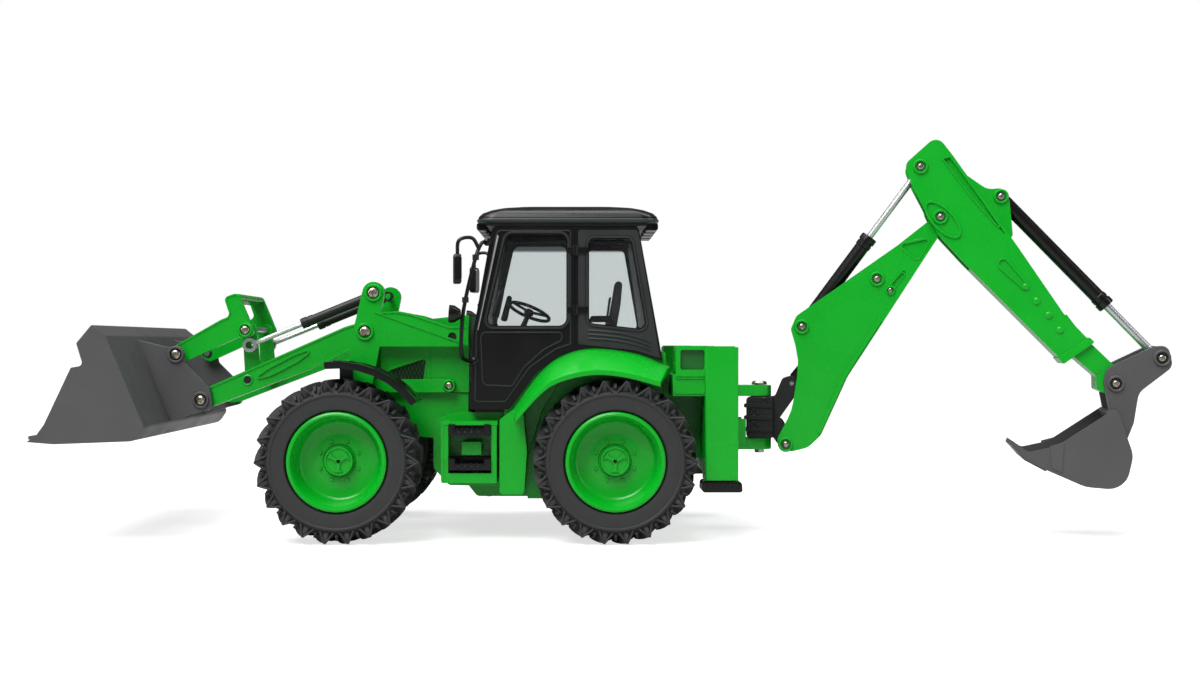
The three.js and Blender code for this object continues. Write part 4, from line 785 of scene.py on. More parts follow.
def front_fender_layers():
    """Curved blade over the front wheel, on a strut from the steering knuckle."""
    def blade_arc(radius, first, last):
        return arc_points((front_x(0), AXLE_Z), radius, math.radians(first), math.radians(last - first))
    blade = prism(blade_arc(50.5, 37, 97) + blade_arc(48.5, 97, 37), 48, 75)
    lip = prism(blade_arc(50.5, 37, 97) + blade_arc(46.9, 97, 37), 73.4, 75)
    strut = box(front_x(-3), front_x(4), 42, 44.6, AXLE_Z + 6.3, AXLE_Z + 49.5)
    arm = box(front_x(-3), front_x(4), 42, 50, AXLE_Z + 47.9, AXLE_Z + 50.1)
    rib = prism(blade_arc(50.9, 40, 94) + blade_arc(50, 94, 40), 60.6, 62.4)
    return [(fused(blade, lip), BLACK, 0.5), (merge(strut, arm), BLACK, 0.4), (rib, BLACK, 0.2)]


side_pieces("front_fender_{}_curved", "knuckle_{}", "front_fender_{}",
            front_fender_layers())

# ---------------------------------------------------------------- cab
CAB = [(CAB_FRONT, 66.8), (-54.2, 66.8, 2), (-40.5, 85.4, 10), (-28.6, 94.6, 12), (-12, 98.8, 12),
       (10.7, 96.3, 12), (CAB_REAR, 91.6), (CAB_REAR - 12.6, CAB_TOP, 3), (CAB_FRONT + 11.7, CAB_TOP, 3),
       (CAB_FRONT + 1.8, 106.8, 6)]
DOOR = [(-66.1, 110.1, 3), (-24.7, 110.1, 4), (-24.7, 157.2, 3.5), (-55.3, 157.2, 3.5)]
SIDE_WINDOW = [(-12.9, 111.5, 3), (16.5, 108.2, 3), (8.4, 154.8, 3), (-12.9, 154.8, 3)]


def cab_layers():
    """Cab shell with its window openings, beads, hinges, handles, louvres and wiper."""
    outer = slab(CAB, -CAB_HALF, CAB_HALF)
    inner_half = CAB_HALF - WALL
    plain = [(x, z) for x, z, *_ in CAB]
    room = slab(inset(plain, WALL), -inner_half, inner_half)
    openings = [box(CAB_FRONT + WALL, CAB_REAR - WALL, -inner_half, inner_half, 60, 104),
                box(-58, 8, -40, 40, 150, 170), slab(DOOR, -60, 60), slab(SIDE_WINDOW, -60, 60)]
    for x, low in ((-68, 108), (20, 112)):
        pane = slab([(-40, low, 3), (40, low, 3), (40, 155, 3), (-40, 155, 3)], -20, 20)
        openings.append(moved(pane, Matrix.Translation((x, 0, 0)) @ Matrix.Rotation(math.pi / 2, 4, "Z")))
    grooves = [box(-20.4, -19.6, side * 47.4, side * 50, 100, 160) for side in (-1, 1)]
    shell = cut(outer, room, *openings, *grooves)
    side_y = CAB_HALF
    door_line = [(-72.3, 70.5, 2), (-56, 70.5, 2), (-43.4, 88.4, 8), (-30, 97.8, 8), (-22.2, 100.4, 1),
                 (-22.2, 159.6, 1.5), (-60.6, 159.6, 3), (-71.4, 107, 5)]
    # The beads and the lower band are drawn in the lighter grey as painted highlight along their rounded
    # edges; they are the same black plastic as the shell.
    beads = merge(band(DOOR, -1.7, -0.6, side_y - 0.3, side_y + 0.9),
                  band(SIDE_WINDOW, -1.7, -0.6, side_y - 0.3, side_y + 0.9),
                  band(door_line, 0, 0.7, side_y - 0.3, side_y + 0.7))
    lower = [(-69.3, 107.0, 3), (-68.2, 79.2, 3), (-52.5, 78.4, 3), (-46.6, 88.2, 8), (-36, 97.6, 8),
             (-26.6, 102.4, 3), (-26.6, 107.0, 2)]
    panel = band(lower, 0, 0.7, side_y - 0.3, side_y + 0.8)
    hinges = merge(*[merge(slab([(-24, z - 1.8, 1), (-13, z - 1.8, 1), (-13, z + 1.8, 1),
                                 (-24, z + 1.8, 1)],
                                side_y - 0.2, side_y + 1.3),
                           turned([(0, -2.6), (1.4, -2.6), (1.4, 2.6), (0, 2.6)], (-20, side_y + 0.9, z),
                                  (0, 0, 1), 16))
                     for z in (148.9, 118.1)])
    handle = merge(slab([(-63.6, 114, 1.5), (-59.6, 113.6, 1.5), (-56.5, 128.4, 1.5), (-59.4, 129, 1.5)],
                        side_y - 0.2, side_y + 1.5),
                   tube(smooth_path([(-61.8, side_y, 115.6), (-61.6, side_y + 2.4, 117),
                                     (-59.4, side_y + 2.4, 126),
                                     (-58.8, side_y, 127.4)], 6), 0.8))
    surround = [(-18.6, 100.6, 1), (-12, 99.8, 12), (10.7, 97.3, 12), (CAB_REAR - 1.4, 93.2),
                (CAB_REAR - 12.8, 159.6, 2), (-18.6, 159.6, 1)]
    rear_panel = cut(slab(surround, side_y - 0.2, side_y + 0.35), slab(inset(SIDE_WINDOW, -1.9), 20, 60))
    louvre = ((-13.6, 103.4), (-6, 103.0), (4, 101.8), (13, 99.6), (18.8, 97.4))
    louvres = merge(*[tube(smooth_path([(x, side_y + 0.35, z + lift) for x, z in louvre], 4), 0.55, 8)
                      for lift in (0.0, 2.1, 4.2)])
    trim = slab([(-70.9, 108.6), (-70.2, 107.6), (-59.6, 156.4), (-60.6, 157.2)], side_y - 0.3,
                side_y + 0.5)
    wiper = merge(tube([(-73.2, 8, 108), (-68.8, 10, 128)], 0.5, 8), box(-69.9, -69.1, 3, 17, 127.4, 128.6))
    return [(shell, BLACK, 0.5), (both(beads), PANEL_GREY_AND_HIGHLIGHT, 0.3), (both(panel), PANEL_GREY_AND_HIGHLIGHT, 0.3),
            (both(hinges), BLACK, 0.35),
            (both(handle), SATIN, 0.3), (both(rear_panel), PANEL_GREY_AND_HIGHLIGHT, 0.2), (both(louvres), PANEL_GREY_AND_HIGHLIGHT, 0),
            (both(trim), CHROME, 0.1), (wiper, SATIN, 0)]


piece("cab_body", "root", ["cab_shell"], cab_layers())


def roof_layers():
    """Fascia, crown, underside skirt, hatch, beads and the lamp bars at both ends."""
    y = CAB_HALF + 3

    def tray(corners, half, levels):
        """A plate with rounded corners in plan; levels are (height, how far in from the widest edge)."""
        x0, x1 = corners
        rings = []
        for z, shrink in levels:
            plan = rounded([(x0 + shrink, -half + shrink * 0.6, 9), (x1 - shrink, -half + shrink * 0.6, 9),
                            (x1 - shrink, half - shrink * 0.6, 9), (x0 + shrink, half - shrink * 0.6, 9)])
            rings.append([(px, py, z) for px, py in plan])
        return loft(rings)
    fascia = tray((-71.3, 23.5), y, [(163.2, 1.2), (163.8, 0.3), (164.8, 0), (165.4, 0.4)])
    crown = tray((-70.6, 22.8), y - 0.8, [(165.5, 0), (166.6, 0.2), (168.6, 2.2), (170.4, 6.5),
                                          (171.6, 11.5),
                                          (172.4, 19), (172.8, 27)])
    skirt = cut(box(-66, 17, -48.5, 48.5, 161.6, 164), box(-60, 11, -44, 44, 160, 166))
    room = [box(-62, 14, -y + 4, y - 4, 160, 165.0)]
    fascia = cut(fascia, *room)
    hatch = band([(-38, -24), (-8, -24), (-8, 24), (-38, 24)], 0, 1.2, -0.4, 0.5)
    hatch = moved(hatch, Matrix.Translation((0, 0, 172.5)) @ Matrix.Rotation(-math.pi / 2, 4, "X"))
    beads = both(tube(smooth_path([(-58, 30, 170.9), (-24, 32, 172.3), (10, 30, 170.9)], 6), 0.6, 10))
    # Lamp bars as (front X, rear X, front X of the lens).
    lamps = [(*ends, y0) for ends in ((-71.6, -66.6, -71.8), (16.6, 23.2, 22.8))
             for y0 in (-39, -18, 3, 24)]
    bars = merge(*[slab([(x0, 160.0, 1.2), (x1, 160.0, 1.2), (x1, 163.6), (x0, 163.6)], y0, y0 + 15)
                   for x0, x1, _, y0 in lamps])
    lenses = merge(*[box(lens_x, lens_x + 0.6, y0 + 1.2, y0 + 13.8, 160.9, 162.9) for _, _, lens_x,
                     y0 in lamps])
    return [(fascia, PANEL_GREY_AND_HIGHLIGHT, 0.3), (crown, BLACK, 0), (skirt, SATIN, 0.3), (hatch, BLACK, 0.2),
            (beads, BLACK, 0),
            (bars, BLACK, 0.4), (lenses, LENS, 0.15)]


piece("cab_roof_layered", "root", ["cab_roof"], roof_layers())


def seat_layers():
    """Pedestal, squab, back, flutes and arm rests."""
    x, z = -4, 93.8
    pedestal = both(slab([(x - 9, z), (x + 4, z), (x + 2, z + 7), (x - 7, z + 7)], 3, 8))
    squab = slab([(x - 17, z + 6, 2), (x + 6, z + 6, 2), (x + 6, z + 12, 2), (x - 10, z + 11.4, 4),
                  (x - 17, z + 13.4, 3)], -13, 13)
    back = slab([(x, z + 8, 1), (x + 5, z + 8, 1), (x + 8.6, 122, 3), (x + 9.6, 134, 2), (x + 6, 135, 2),
                 (x + 4.2, 124, 3)], -13, 13)
    flute_ys = (-8, -4, 0, 4, 8)
    flutes = merge(*[box(x - 15.4, x + 1, y - 0.5, y + 0.5, z + 11, z + 12.4) for y in flute_ys])
    back_flute = [(x + 0.4, z + 16), (x + 1.2, z + 16), (x + 3.6, 126), (x + 2.6, 126)]
    back_flutes = merge(*[slab(back_flute, y - 0.6, y + 0.6) for y in flute_ys])
    rests = both(slab([(x - 8, z + 19, 1.5), (x + 4, z + 19, 1.5), (x + 4, z + 22, 1.5),
                       (x - 8, z + 22, 1.5)], 14, 17))
    return [(merge(pedestal, squab), SATIN, 1.2), (back, GREY, 1.2), (flutes, SATIN, 0.2),
            (back_flutes, GREY, 0.2), (rests, SATIN, 0.8)]


piece("driver_seat_moulded", "root", ["driver_seat"], seat_layers())


def steering_layers():
    """Wheel rim, three spokes, hub and column, leaned back and rolled a little."""
    ring = loft([[((11.6 + 0.95 * math.cos(b)) * math.cos(a), (11.6 + 0.95 * math.cos(b)) * math.sin(a),
                   0.95 * math.sin(b)) for b in [2 * math.pi * k / 12 for k in range(12)]]
                 for a in [2 * math.pi * k / 48 for k in range(48)]], closed=True)
    spokes = merge(*[moved(box(0, 11.6, -1.2, 1.2, -0.6, 0.4),
                           Matrix.Rotation(math.radians(a + 90), 4, "Z"))
                     for a in (0, 120, 240)])
    hub = turned([(0, -1.5), (2.6, -1.5), (2.8, 0.4), (1.8, 1.2), (0, 1.3)], (0, 0, 0), (0, 0, 1), 24)
    column = turned([(0, -13), (1.9, -13), (1.4, -6), (1.3, 0), (0, 0)], (0, 0, 0), (0, 0, 1), 20)
    place = (Matrix.Translation((-45.2, 0, 118.3)) @ Matrix.Rotation(math.radians(22), 4, "Y")
             @ Matrix.Rotation(math.radians(-14), 4, "X"))
    return [(moved(ring, place), BLACK, 0), (moved(spokes, place), BLACK, 0.3),
            (moved(hub, place), BLACK, 0),
            (moved(column, place), BLACK, 0)]


piece("steering_wheel_round", "root", ["steering_wheel"], steering_layers())


def collar_about(point, radius):
    """A short upright sleeve round a rail."""
    return turned([(0, -1.4), (radius, -1.4), (radius, 1.4), (0, 1.4)], point, (0, 0, 1), 16)


def mirror_layers():
    """Bent grab rail with its loop, feet, mirror, lamp and clips."""
    y = CAB_HALF + 2 * GAP
    path = smooth_path([(-65.6, y, 153.2), (-68.4, y + 7, 151.6), (-71.8, y + 11, 141), (-77, y + 12, 117),
                        (-78.1, y + 11, 97), (-76.6, y + 6, 92.6), (-72.2, y, 91.8)])
    loop = smooth_path([(-69.4, y + 9, 149.6), (-72.6, y + 13, 154.4), (-79, y + 15, 153),
                        (-79.8, y + 15, 145)])
    rail = merge(tube(path, 1.0, 14), tube(loop, 0.95, 14))
    feet = merge(*[turned([(0, -0.5), (2, -0.5), (2, 1), (1.2, 1.6), (0, 1.6)], (x, y, z), (0, 1, 0), 20)
                   for x, z in ((-65.6, 153.2), (-72.2, 91.8))])
    facing = Matrix.Rotation(math.radians(82), 4, "Z")
    head = moved(slab([(-6, -7.5, 2.2), (6, -7.5, 2.2), (6, 7.5, 2.2), (-6, 7.5, 2.2)], -1.8, 1.8),
                 Matrix.Translation((-79.8, y + 16, 138.5)) @ facing)
    glass = moved(slab([(-5, -6.5, 1.6), (5, -6.5, 1.6), (5, 6.5, 1.6), (-5, 6.5, 1.6)], -0.2, 0.2),
                  Matrix.Translation((-77.95, y + 16.2, 138.5)) @ facing)
    lamp = turned([(0, -3), (2.4, -3), (4.4, 0.2), (4.6, 2.8), (4.1, 2.8), (3.9, 2.1), (0, 2.1)],
                  (-81.4, y + 12, 115.8), (-1, 0, 0.05), 28)
    lens = turned([(0, 1.8), (3.9, 1.9), (3.2, 2.5), (0, 2.7)], (-81.4, y + 12, 115.8), (-1, 0, 0.05), 28)
    clip = merge(collar_about(path[14], 1.7), collar_about(path[22], 1.7))
    return [(rail, BLACK, 0), (feet, BLACK, 0), (head, BLACK, 0.7), (glass, MIRROR, 0), (lamp, BLACK, 0),
            (lens, LENS, 0), (clip, SATIN, 0.2)]


side_pieces("mirror_rail_{}_bent", "root", "mirror_rail_{}", mirror_layers())

# ---------------------------------------------------------------- front loader
ARM_IN, ARM_OUT = 27.5, 33.5
TOWER_IN, TOWER_OUT = 34, 38
RAIL_HOLE = (front_x(55), 104.4)
BRACE_END = (front_x(53), 78.5)
BUCKET_HALF = 86
DIG_BUCKET_HALF = 22
TONGUE_HALF = 9.5
TILT_Y = 24.5


def tower_layers():
    """Tower plate with its rail, brace, boss rings and screws."""
    rail_end = CAB_FRONT - 1.2
    post = from_front([(3.6, 76, 2), (12.4, 76, 2), (17, 100, 4), (18.5, 118, 3), (3.8, 108, 3),
                       (0.4, 92, 4)])
    rail = [(front_x(13), 99.3), (rail_end, 99.3), (rail_end, 110.2), (front_x(54), 109.8, 4),
            (front_x(33), 116.7, 7), (front_x(26.9), 117.8, 5), (front_x(14), 117)]
    plate = fused(prism(bar(TILT_BASE, 5.8, LIFT, 6.2), TOWER_IN, TOWER_OUT),
                  slab(post, TOWER_IN, TOWER_OUT),
                  slab(rail, TOWER_IN, TOWER_OUT - 0.01))
    plate = cut(plate, pin(RAIL_HOLE, 2.3, TOWER_OUT - 1.4, TOWER_OUT + 2), pin(LIFT, 2.4, 33, 37.2))
    plate_rim = band(rail[1:], 0, 1.1, TOWER_OUT - 0.3, TOWER_OUT + 0.5)
    foot = merge(prism(bar((front_x(8), 78.5), 3.5, BRACE_END, 3.5), 30.3, 33.5),
                 pin((front_x(8), 79), 3, 30.3, TOWER_OUT - 1), pin(RAIL_HOLE, 3, 30.3, 35),
                 pin(TILT_BASE, 1.5, 22, 35))
    seats = ((TILT_BASE, TOWER_OUT, 4.6), (LIFT, TOWER_OUT, 4.6), (BRACE_END, 33.5, 3.2))
    rings = merge(*[boss(centre, face, radius) for centre, face, radius in seats])
    heads = merge(*[screw(centre, face + 0.2, radius * 0.62) for centre, face, radius in seats])
    # The discs on the ring floors are painted shade, and so is the black satin disc at the bottom of the
    # blind rail hole.
    shade_discs = merge(*[well(centre, face, radius) for centre, face, radius in seats])
    hole = pin(RAIL_HOLE, 2.25, TOWER_OUT - 1.5, TOWER_OUT - 1.2)
    return [(plate, GREEN, 0.5), (plate_rim, GREEN, 0.2), (foot, GREEN, 0.4), (rings, GREEN, 0),
            (heads, SCREW, 0),
            (shade_discs, SHADE_GREEN, 0), (hole, SATIN, 0)]


side_pieces("loader_tower_{}_plate", "root", "loader_tower_{}", tower_layers())


def arm_layers():
    """Both lifting arms with their cross shaft, embossed outlines and pivot rings."""
    outline = [near(BUCKET_PIVOT, -5, -3.6, 4), near(BUCKET_PIVOT, 5.6, -3.4, 3),
               (front_x(-11.7), 90.6, 10),
               (front_x(6), 99.5, 6), (front_x(15.6), 106, 5), (front_x(9.6), 113, 5),
               (front_x(-2), 109.6, 6),
               near(BUCKET_PIVOT, 2.2, 6.3, 4), near(BUCKET_PIVOT, -5.4, 2.6, 4)]
    plates = both(cut(slab(outline, ARM_IN, ARM_OUT), pin(ROCKER, 1.9, 20, 40),
                      pin(BUCKET_PIVOT, 2, 20, 40)))
    cross = merge(pin(LIFT, 3, -28, 28), pin(LIFT, 2, -36.5, 36.5))
    edge = both(band(outline, 0.0, 1.1, ARM_OUT - 0.3, ARM_OUT + 0.42))
    leaf = [(-44, 0, 2), (-20, -3.4, 30), (20, -3.4, 30), (40, 0, 2), (20, 2.6, 30), (-20, 2.6, 30)]
    leaf = [(x * 0.46, z * 0.8, radius) for x, z, radius in leaf]
    lean = Matrix.Translation((front_x(-34), 0, 90.2)) @ Matrix.Rotation(math.radians(-27.4), 4, "Y")
    leaf_ring = both(moved(band(leaf, 0, 0.9, ARM_OUT - 0.3, ARM_OUT + 0.8), lean))
    # The darker discs on the pivot ring floors are painted shade, and so is the satin disc inside the rocker
    # ring.
    rings, heads, shade_discs = bosses_with_screws([BUCKET_PIVOT], ARM_OUT, 4.4, 2.7)
    rocker_ring = both(boss(ROCKER, ARM_OUT, 2.8, 0.6))
    rocker_hole_shade = both(well(ROCKER, ARM_OUT, 2.8))
    return [(plates, GREEN, 0.5), (cross, STEEL, 0.2), (edge, GREEN, 0.2), (leaf_ring, GREEN, 0.15),
            (rings, GREEN, 0), (rocker_ring, GREEN, 0), (heads, SCREW, 0), (shade_discs, SHADE_GREEN, 0),
            (rocker_hole_shade, SATIN, 0)]


piece("loader_arm_pair", "loader", ["loader_arms"], arm_layers())

ROCKER_IN, ROCKER_THICK = 18.5, 2.5
LINK_IN, LINK_OUT = 28.2, 31.2


def rocker_layers():
    """Two posts on a cross tube, with the upper cross pin."""
    posts = both(prism(bar(ROCKER, 4.2, ROCKER_TOP, 3.8), ROCKER_IN, ROCKER_IN + ROCKER_THICK))
    cross_tube = merge(pin(ROCKER, 3, -27.2, 27.2), pin(ROCKER, 1.5, -ARM_OUT, ARM_OUT))
    return [(posts, GREEN, 0.4), (cross_tube, GREEN, 0.3),
            (pin(ROCKER_TOP, 1.8, -LINK_OUT, LINK_OUT), STEEL, 0.2)]


piece("tilt_rocker_frame", "rocker", ["tilt_rocker"], rocker_layers())


def link_layers():
    """Two hooked plates joined by a tie at the top."""
    outline = [near(LINK_PIN, -4.4, -1, 3), near(LINK_PIN, 1.5, -4.6, 3), near(ROCKER_TOP, -3, -3.6, 3),
               near(ROCKER_TOP, 5.6, -3.8, 4), near(ROCKER_TOP, 1, 8, 3), near(ROCKER_TOP, -4, 19.8, 2.5),
               near(ROCKER_TOP, -11.4, 17.2, 2.5), near(ROCKER_TOP, -8, 7.4, 2.5),
               near(ROCKER_TOP, -13, 5.4, 3),
               near(LINK_PIN, -2, 4.6, 3)]
    plates = both(cut(slab(outline, LINK_IN, LINK_OUT), pin(ROCKER_TOP, 2.1, 20, 40),
                      pin(LINK_PIN, 2.9, 20, 40)))
    tie = prism(bar(near(ROCKER_TOP, -8, 16), 1.8, near(ROCKER_TOP, -4.6, 17.4), 1.8), -LINK_IN - 1,
                LINK_IN + 1)
    rim = both(band(outline, 0.0, 0.9, LINK_OUT - 0.3, LINK_OUT + 0.35))
    # The darker green disc on the ring floor is painted shade.
    ring, head, shade_floor_disc = bosses_with_screws([ROCKER_TOP], LINK_OUT, 3.8, 2.3)
    return [(plates, GREEN, 0.4), (tie, GREEN, 0.3), (rim, GREEN, 0.15), (ring, GREEN, 0), (head, SCREW, 0),
            (shade_floor_disc, SHADE_GREEN, 0)]


piece("tipping_link_hooked", "link", ["tipping_link"], link_layers())


def loader_bucket_layers():
    """Bucket shell with its lip, side strips, back ribs and the two gussets that carry the pins."""
    half = BUCKET_HALF
    outline = from_front([(-150.2, 52.4), (-137, 51.3, 8), (-97, 52.8, 6), (-92.3, 59.8, 3),
                          (-111.2, 104.8, 3),
                          (-118, 110.3, 1), (-125.7, 101, 1), (-122.4, 90, 2), (-128.4, 89, 1),
                          (-141.6, 61, 3),
                          (-145.4, 55.8, 1)])
    room = from_front([(-160, 55), (-137, 54, 8), (-99, 55.4, 5), (-95.6, 60.6, 3), (-113.6, 103.4, 2),
                       (-119, 108),
                       (-119, 150), (-160, 150)])
    shell = cut(slab(outline, -half, half), slab(room, -half + WALL, half - WALL))
    strip = both(slab(from_front([(-141.2, 58, 0.8), (-138.4, 57.2, 0.8), (-124.4, 88.2, 0.8),
                                  (-127.4, 88.6, 0.8)]),
                      half - 0.4, half - 0.02))
    lip = box(front_x(-149.4), front_x(-141), -half + 0.4, half - 0.4, 53.6, 55.4)
    back_rib = from_front([(-108.4, 96), (-107.2, 96.4), (-95.4, 66), (-96.8, 65.6)])
    back_ribs = merge(*[slab(back_rib, y - 1.2, y + 1.2) for y in (-62, -48, 0, 48, 62)])
    gusset = slab([(front_x(-96.6), 56), (front_x(-94.8), 59.6, 1), near(BUCKET_PIVOT, -2, -6.6, 5),
                   near(BUCKET_PIVOT, 6.4, -4.6, 4), near(BUCKET_PIVOT, 4.6, 6.2, 4),
                   near(LINK_PIN, 5, -5, 3),
                   near(LINK_PIN, 3.4, 4.4, 3), near(LINK_PIN, -5, 4, 3), (front_x(-111), 103),
                   (front_x(-113), 102)], 34, 37)
    stubs = merge(pin(LINK_PIN, 1.4, LINK_IN, 35), pin(BUCKET_PIVOT, 1.7, ARM_IN, 35))
    # The black satin discs on the ring floors are painted shade inside the grey boss rings.
    rings, heads, shade_discs = bosses_with_screws([BUCKET_PIVOT, LINK_PIN], 37, 4.4, 2.5)
    return [(shell, GREY, 0.4), (strip, GREY, 0.15), (lip, GREY, 0.3), (back_ribs, GREY, 0.4),
            (both(gusset), GREY, 0.5), (both(stubs), STEEL, 0.2), (rings, GREY, 0), (heads, SCREW, 0),
            (shade_discs, SATIN, 0)]


piece("loader_bucket_shell", "front_bucket", ["loader_bucket"], loader_bucket_layers())


def ram_frame(start, end, y):
    """Start point, direction and length of a cylinder drawn in the side view."""
    line = Vector((end[0] - start[0], 0, end[1] - start[1]))
    return Vector((start[0], y, start[1])), line.normalized(), line.length


def barrel_solids(start, end, length, radius, y):
    """Barrel with gland and rings, and its base eye: (tube, eye)."""
    at, along, _ = ram_frame(start, end, y)
    bore = radius - 0.9
    profile = [(0, 2.5), (radius * 0.9, 2.5), (radius, 3.2), (radius, length - 7),
               (radius * 1.1, length - 6.6),
               (radius * 1.1, length - 4.4), (radius * 1.02, length - 4.2), (radius * 1.02, length - 3.6),
               (radius * 1.18, length - 3.4), (radius * 1.18, length - 0.5), (radius * 1.08, length),
               (bore, length), (bore, radius + 4), (0, radius + 4)]
    eye = cut(pin(start, radius + 0.4, y - radius + 0.2, y + radius - 0.2), pin(start, 1.9, y - 10, y + 10))
    return turned(profile, at, along, 32), eye


def rod_solids(start, end, first, radius, eye_radius, eye_half, y):
    """Rod from a distance inside the barrel to its end eye: (shaft, eye)."""
    at, along, length = ram_frame(start, end, y)
    shaft = turned([(0, first), (radius, first), (radius, length - 2.4), (radius * 1.25, length - 2.2),
                    (radius * 1.25, length - 1), (0, length - 1)], at, along, 32)
    hole = min(2, eye_radius - 1.2)
    eye = cut(pin(end, eye_radius, y - eye_half, y + eye_half), pin(end, hole, y - 10, y + 10))
    return shaft, eye


for side, name in ((-1, "left"), (1, "right")):
    shell, eye = barrel_solids(TILT_BASE, TILT_EYE, 43, 2.5, side * TILT_Y)
    piece(f"tilt_barrel_{name}_ribbed", "tilt_barrels", [f"tilt_barrel_{name}"], [
        (shell, SATIN, 0), (eye, SATIN, 0.3)])
    shaft, eye = rod_solids(TILT_BASE, TILT_EYE, 30, 1.3, 3.8, 1.6, side * TILT_Y)
    piece(f"tilt_rod_{name}_plated", "tilt_rods", [f"tilt_rod_{name}"], [
        (shaft, CHROME, 0), (eye, STEEL, 0.3)])

# ---------------------------------------------------------------- rear frame, stabilisers, kingpost
TUBE_IN, TUBE_OUT = 45, 62
TUBE_X0, TUBE_X1 = 45.8, 62.8
LEG_Z = 25.3


def rear_frame_layers():
    """Rear plate with the two stabiliser tubes and their housings."""
    front = 28.9
    plate = box(46.6, 52, -TUBE_IN - 1, TUBE_IN + 1, 34, 98)
    lower = box(front, 48, -26, 26, 40, 80)
    tubes, houses, boxes = [], [], []
    for side in (-1, 1):
        outer = moved(slab([(TUBE_X0, TUBE_IN, 1.2), (TUBE_X1, TUBE_IN, 1.2), (TUBE_X1, TUBE_OUT, 1.2),
                            (TUBE_X0, TUBE_OUT, 1.2)], 0, 67.7),
                      Matrix.Translation((0, 0, 31.3)) @ Matrix(((1, 0, 0, 0), (0, 0, side, 0),
                                                                 (0, 1, 0, 0), (0, 0, 0, 1))))
        bore = box(TUBE_X0 + 2, TUBE_X1 - 2, side * (TUBE_IN + 2), side * (TUBE_OUT - 2), 20, 96.5)
        tubes.append(cut(outer, bore))
        boxes.append(box(front + 0.6, 48, side * 22, side * (TUBE_OUT - 3), 74, 85))
        housing = slab([(31, 84, 1), (47, 84), (47, 99.7), (31, 99.7, 1.5)], side * 40,
                       side * (TUBE_OUT - 2))
        houses.append(cut(housing, slab([(33.4, 87.6, 1), (45.6, 87.6, 1), (45.6, 97.6, 1),
                                         (33.4, 97.6, 1)],
                                        side * (TUBE_OUT - 5), side * 80)))
    window = [box(40, 60, -30, 30, 84.5, 92)]
    core = cut(fused(plate, lower), *window)
    # Darker green plates at the back of the housing recesses: painted shade.
    back = merge(*[slab([(33.6, 87.8, 1), (45.4, 87.8, 1), (45.4, 97.4, 1), (33.6, 97.4, 1)],
                        side * (TUBE_OUT - 5.6), side * (TUBE_OUT - 4.6)) for side in (-1, 1)])
    ridges = merge(*[box(front + 2, 47, side * 58.4, side * 59.6, z, z + 1.2) for side in (-1, 1)
                     for z in (75.2, 82.8)])
    caps = merge(*[box(TUBE_X0 + 1.5, TUBE_X1 - 1.5, side * (TUBE_IN + 1.5), side * (TUBE_OUT - 1.5), 98.6,
                       99.5)
                   for side in (-1, 1)])
    ribs = merge(*[box(51.6, 53.2, y - 1.1, y + 1.1, 36, 82) for y in (-38, -30, 30, 38)])
    return ([(core, GREEN, 0.5)] + [(solid, GREEN, 0.5) for solid in tubes + boxes + houses]
            + [(back, SHADE_GREEN, 0), (ridges, GREEN, 0.3), (caps, GREEN, 0.4), (ribs, GREEN, 0.4)])


piece("rear_frame_moulding", "root", ["rear_frame"], rear_frame_layers())

for side, name in ((-1, "left"), (1, "right")):
    leg = box(TUBE_X0 + 2.5, TUBE_X1 - 2.5, side * (TUBE_IN + 2.5), side * (TUBE_OUT - 2.5), LEG_Z + 4, 92)
    foot = slab([(TUBE_X0 - 1.6, LEG_Z, 1.4), (TUBE_X1 + 2, LEG_Z, 1.4), (TUBE_X1 + 1.6, LEG_Z + 5.4, 1.6),
                 (TUBE_X0 - 1.2, LEG_Z + 5.4, 1.6)], side * (TUBE_IN - 1.5), side * (TUBE_OUT + 1.5))
    tread = merge(*[box(TUBE_X0 + 0.6 + 3.2 * k, TUBE_X0 + 2.0 + 3.2 * k, side * (TUBE_OUT + 0.9),
                        side * (TUBE_OUT + 1.9), LEG_Z + 1.2, LEG_Z + 4.2) for k in range(6)])
    piece(f"stabiliser_leg_{name}_footed", f"leg_{name}", [f"stabiliser_leg_{name}"], [
        (leg, BLACK, 0.4), (foot, BLACK, 0.7), (tread, BLACK, 0.2)])


def upright(x, y, radius, z0, z1, sides=32):
    """A round bar standing upright from z0 to z1."""
    return turned([(0, z0), (radius, z0), (radius, z1), (0, z1)], (x, y, 0), (0, 0, 1), sides)


def kingpost_layers():
    """Upper and lower plates that carry the slew axis."""
    axis = SLEW.x - AXLE.x
    plates = []
    for z0, z1 in ((72.2, 78.1), (43.1, 49.3)):
        tongue = fused(box(53, axis, -6.5, 6.5, z0, z1), upright(axis, 0, 6.5, z0, z1))
        plates.append(cut(tongue, upright(axis, 0, 2.9, 30, 90)))
    web = cut(fused(box(52.3, 66, -14, 14, 40, 80), box(64, 72.6, -11, 11, 44, 60)),
              upright(axis, 0, 13, 49.3, 72.2))
    ridges = both(merge(*[box(55, 64, 14, 14.8, z, z + 1.6) for z in (47, 60, 73)]))
    screws = merge(*[moved(SCREW_SOLID, Matrix.Translation((x, y, 80)) @ Matrix.Rotation(-math.pi / 2, 4,
                                                                                         "X")
                           @ Matrix.Scale(2.2, 4)) for x, y in ((59, -9), (59, 9))])
    return [(plates[0], GREEN, 0.5), (plates[1], GREEN, 0.5), (web, GREEN, 0.6), (ridges, GREEN, 0.3),
            (screws, SCREW, 0)]


piece("kingpost_bracket_ribbed", "root", ["kingpost_bracket"], kingpost_layers())

# ---------------------------------------------------------------- backhoe, drawn along its own swing plane
BOOM_HALF, BOOM_PLATE = 8, 2.4
BARREL = 3.8
STICK_HALF = 11


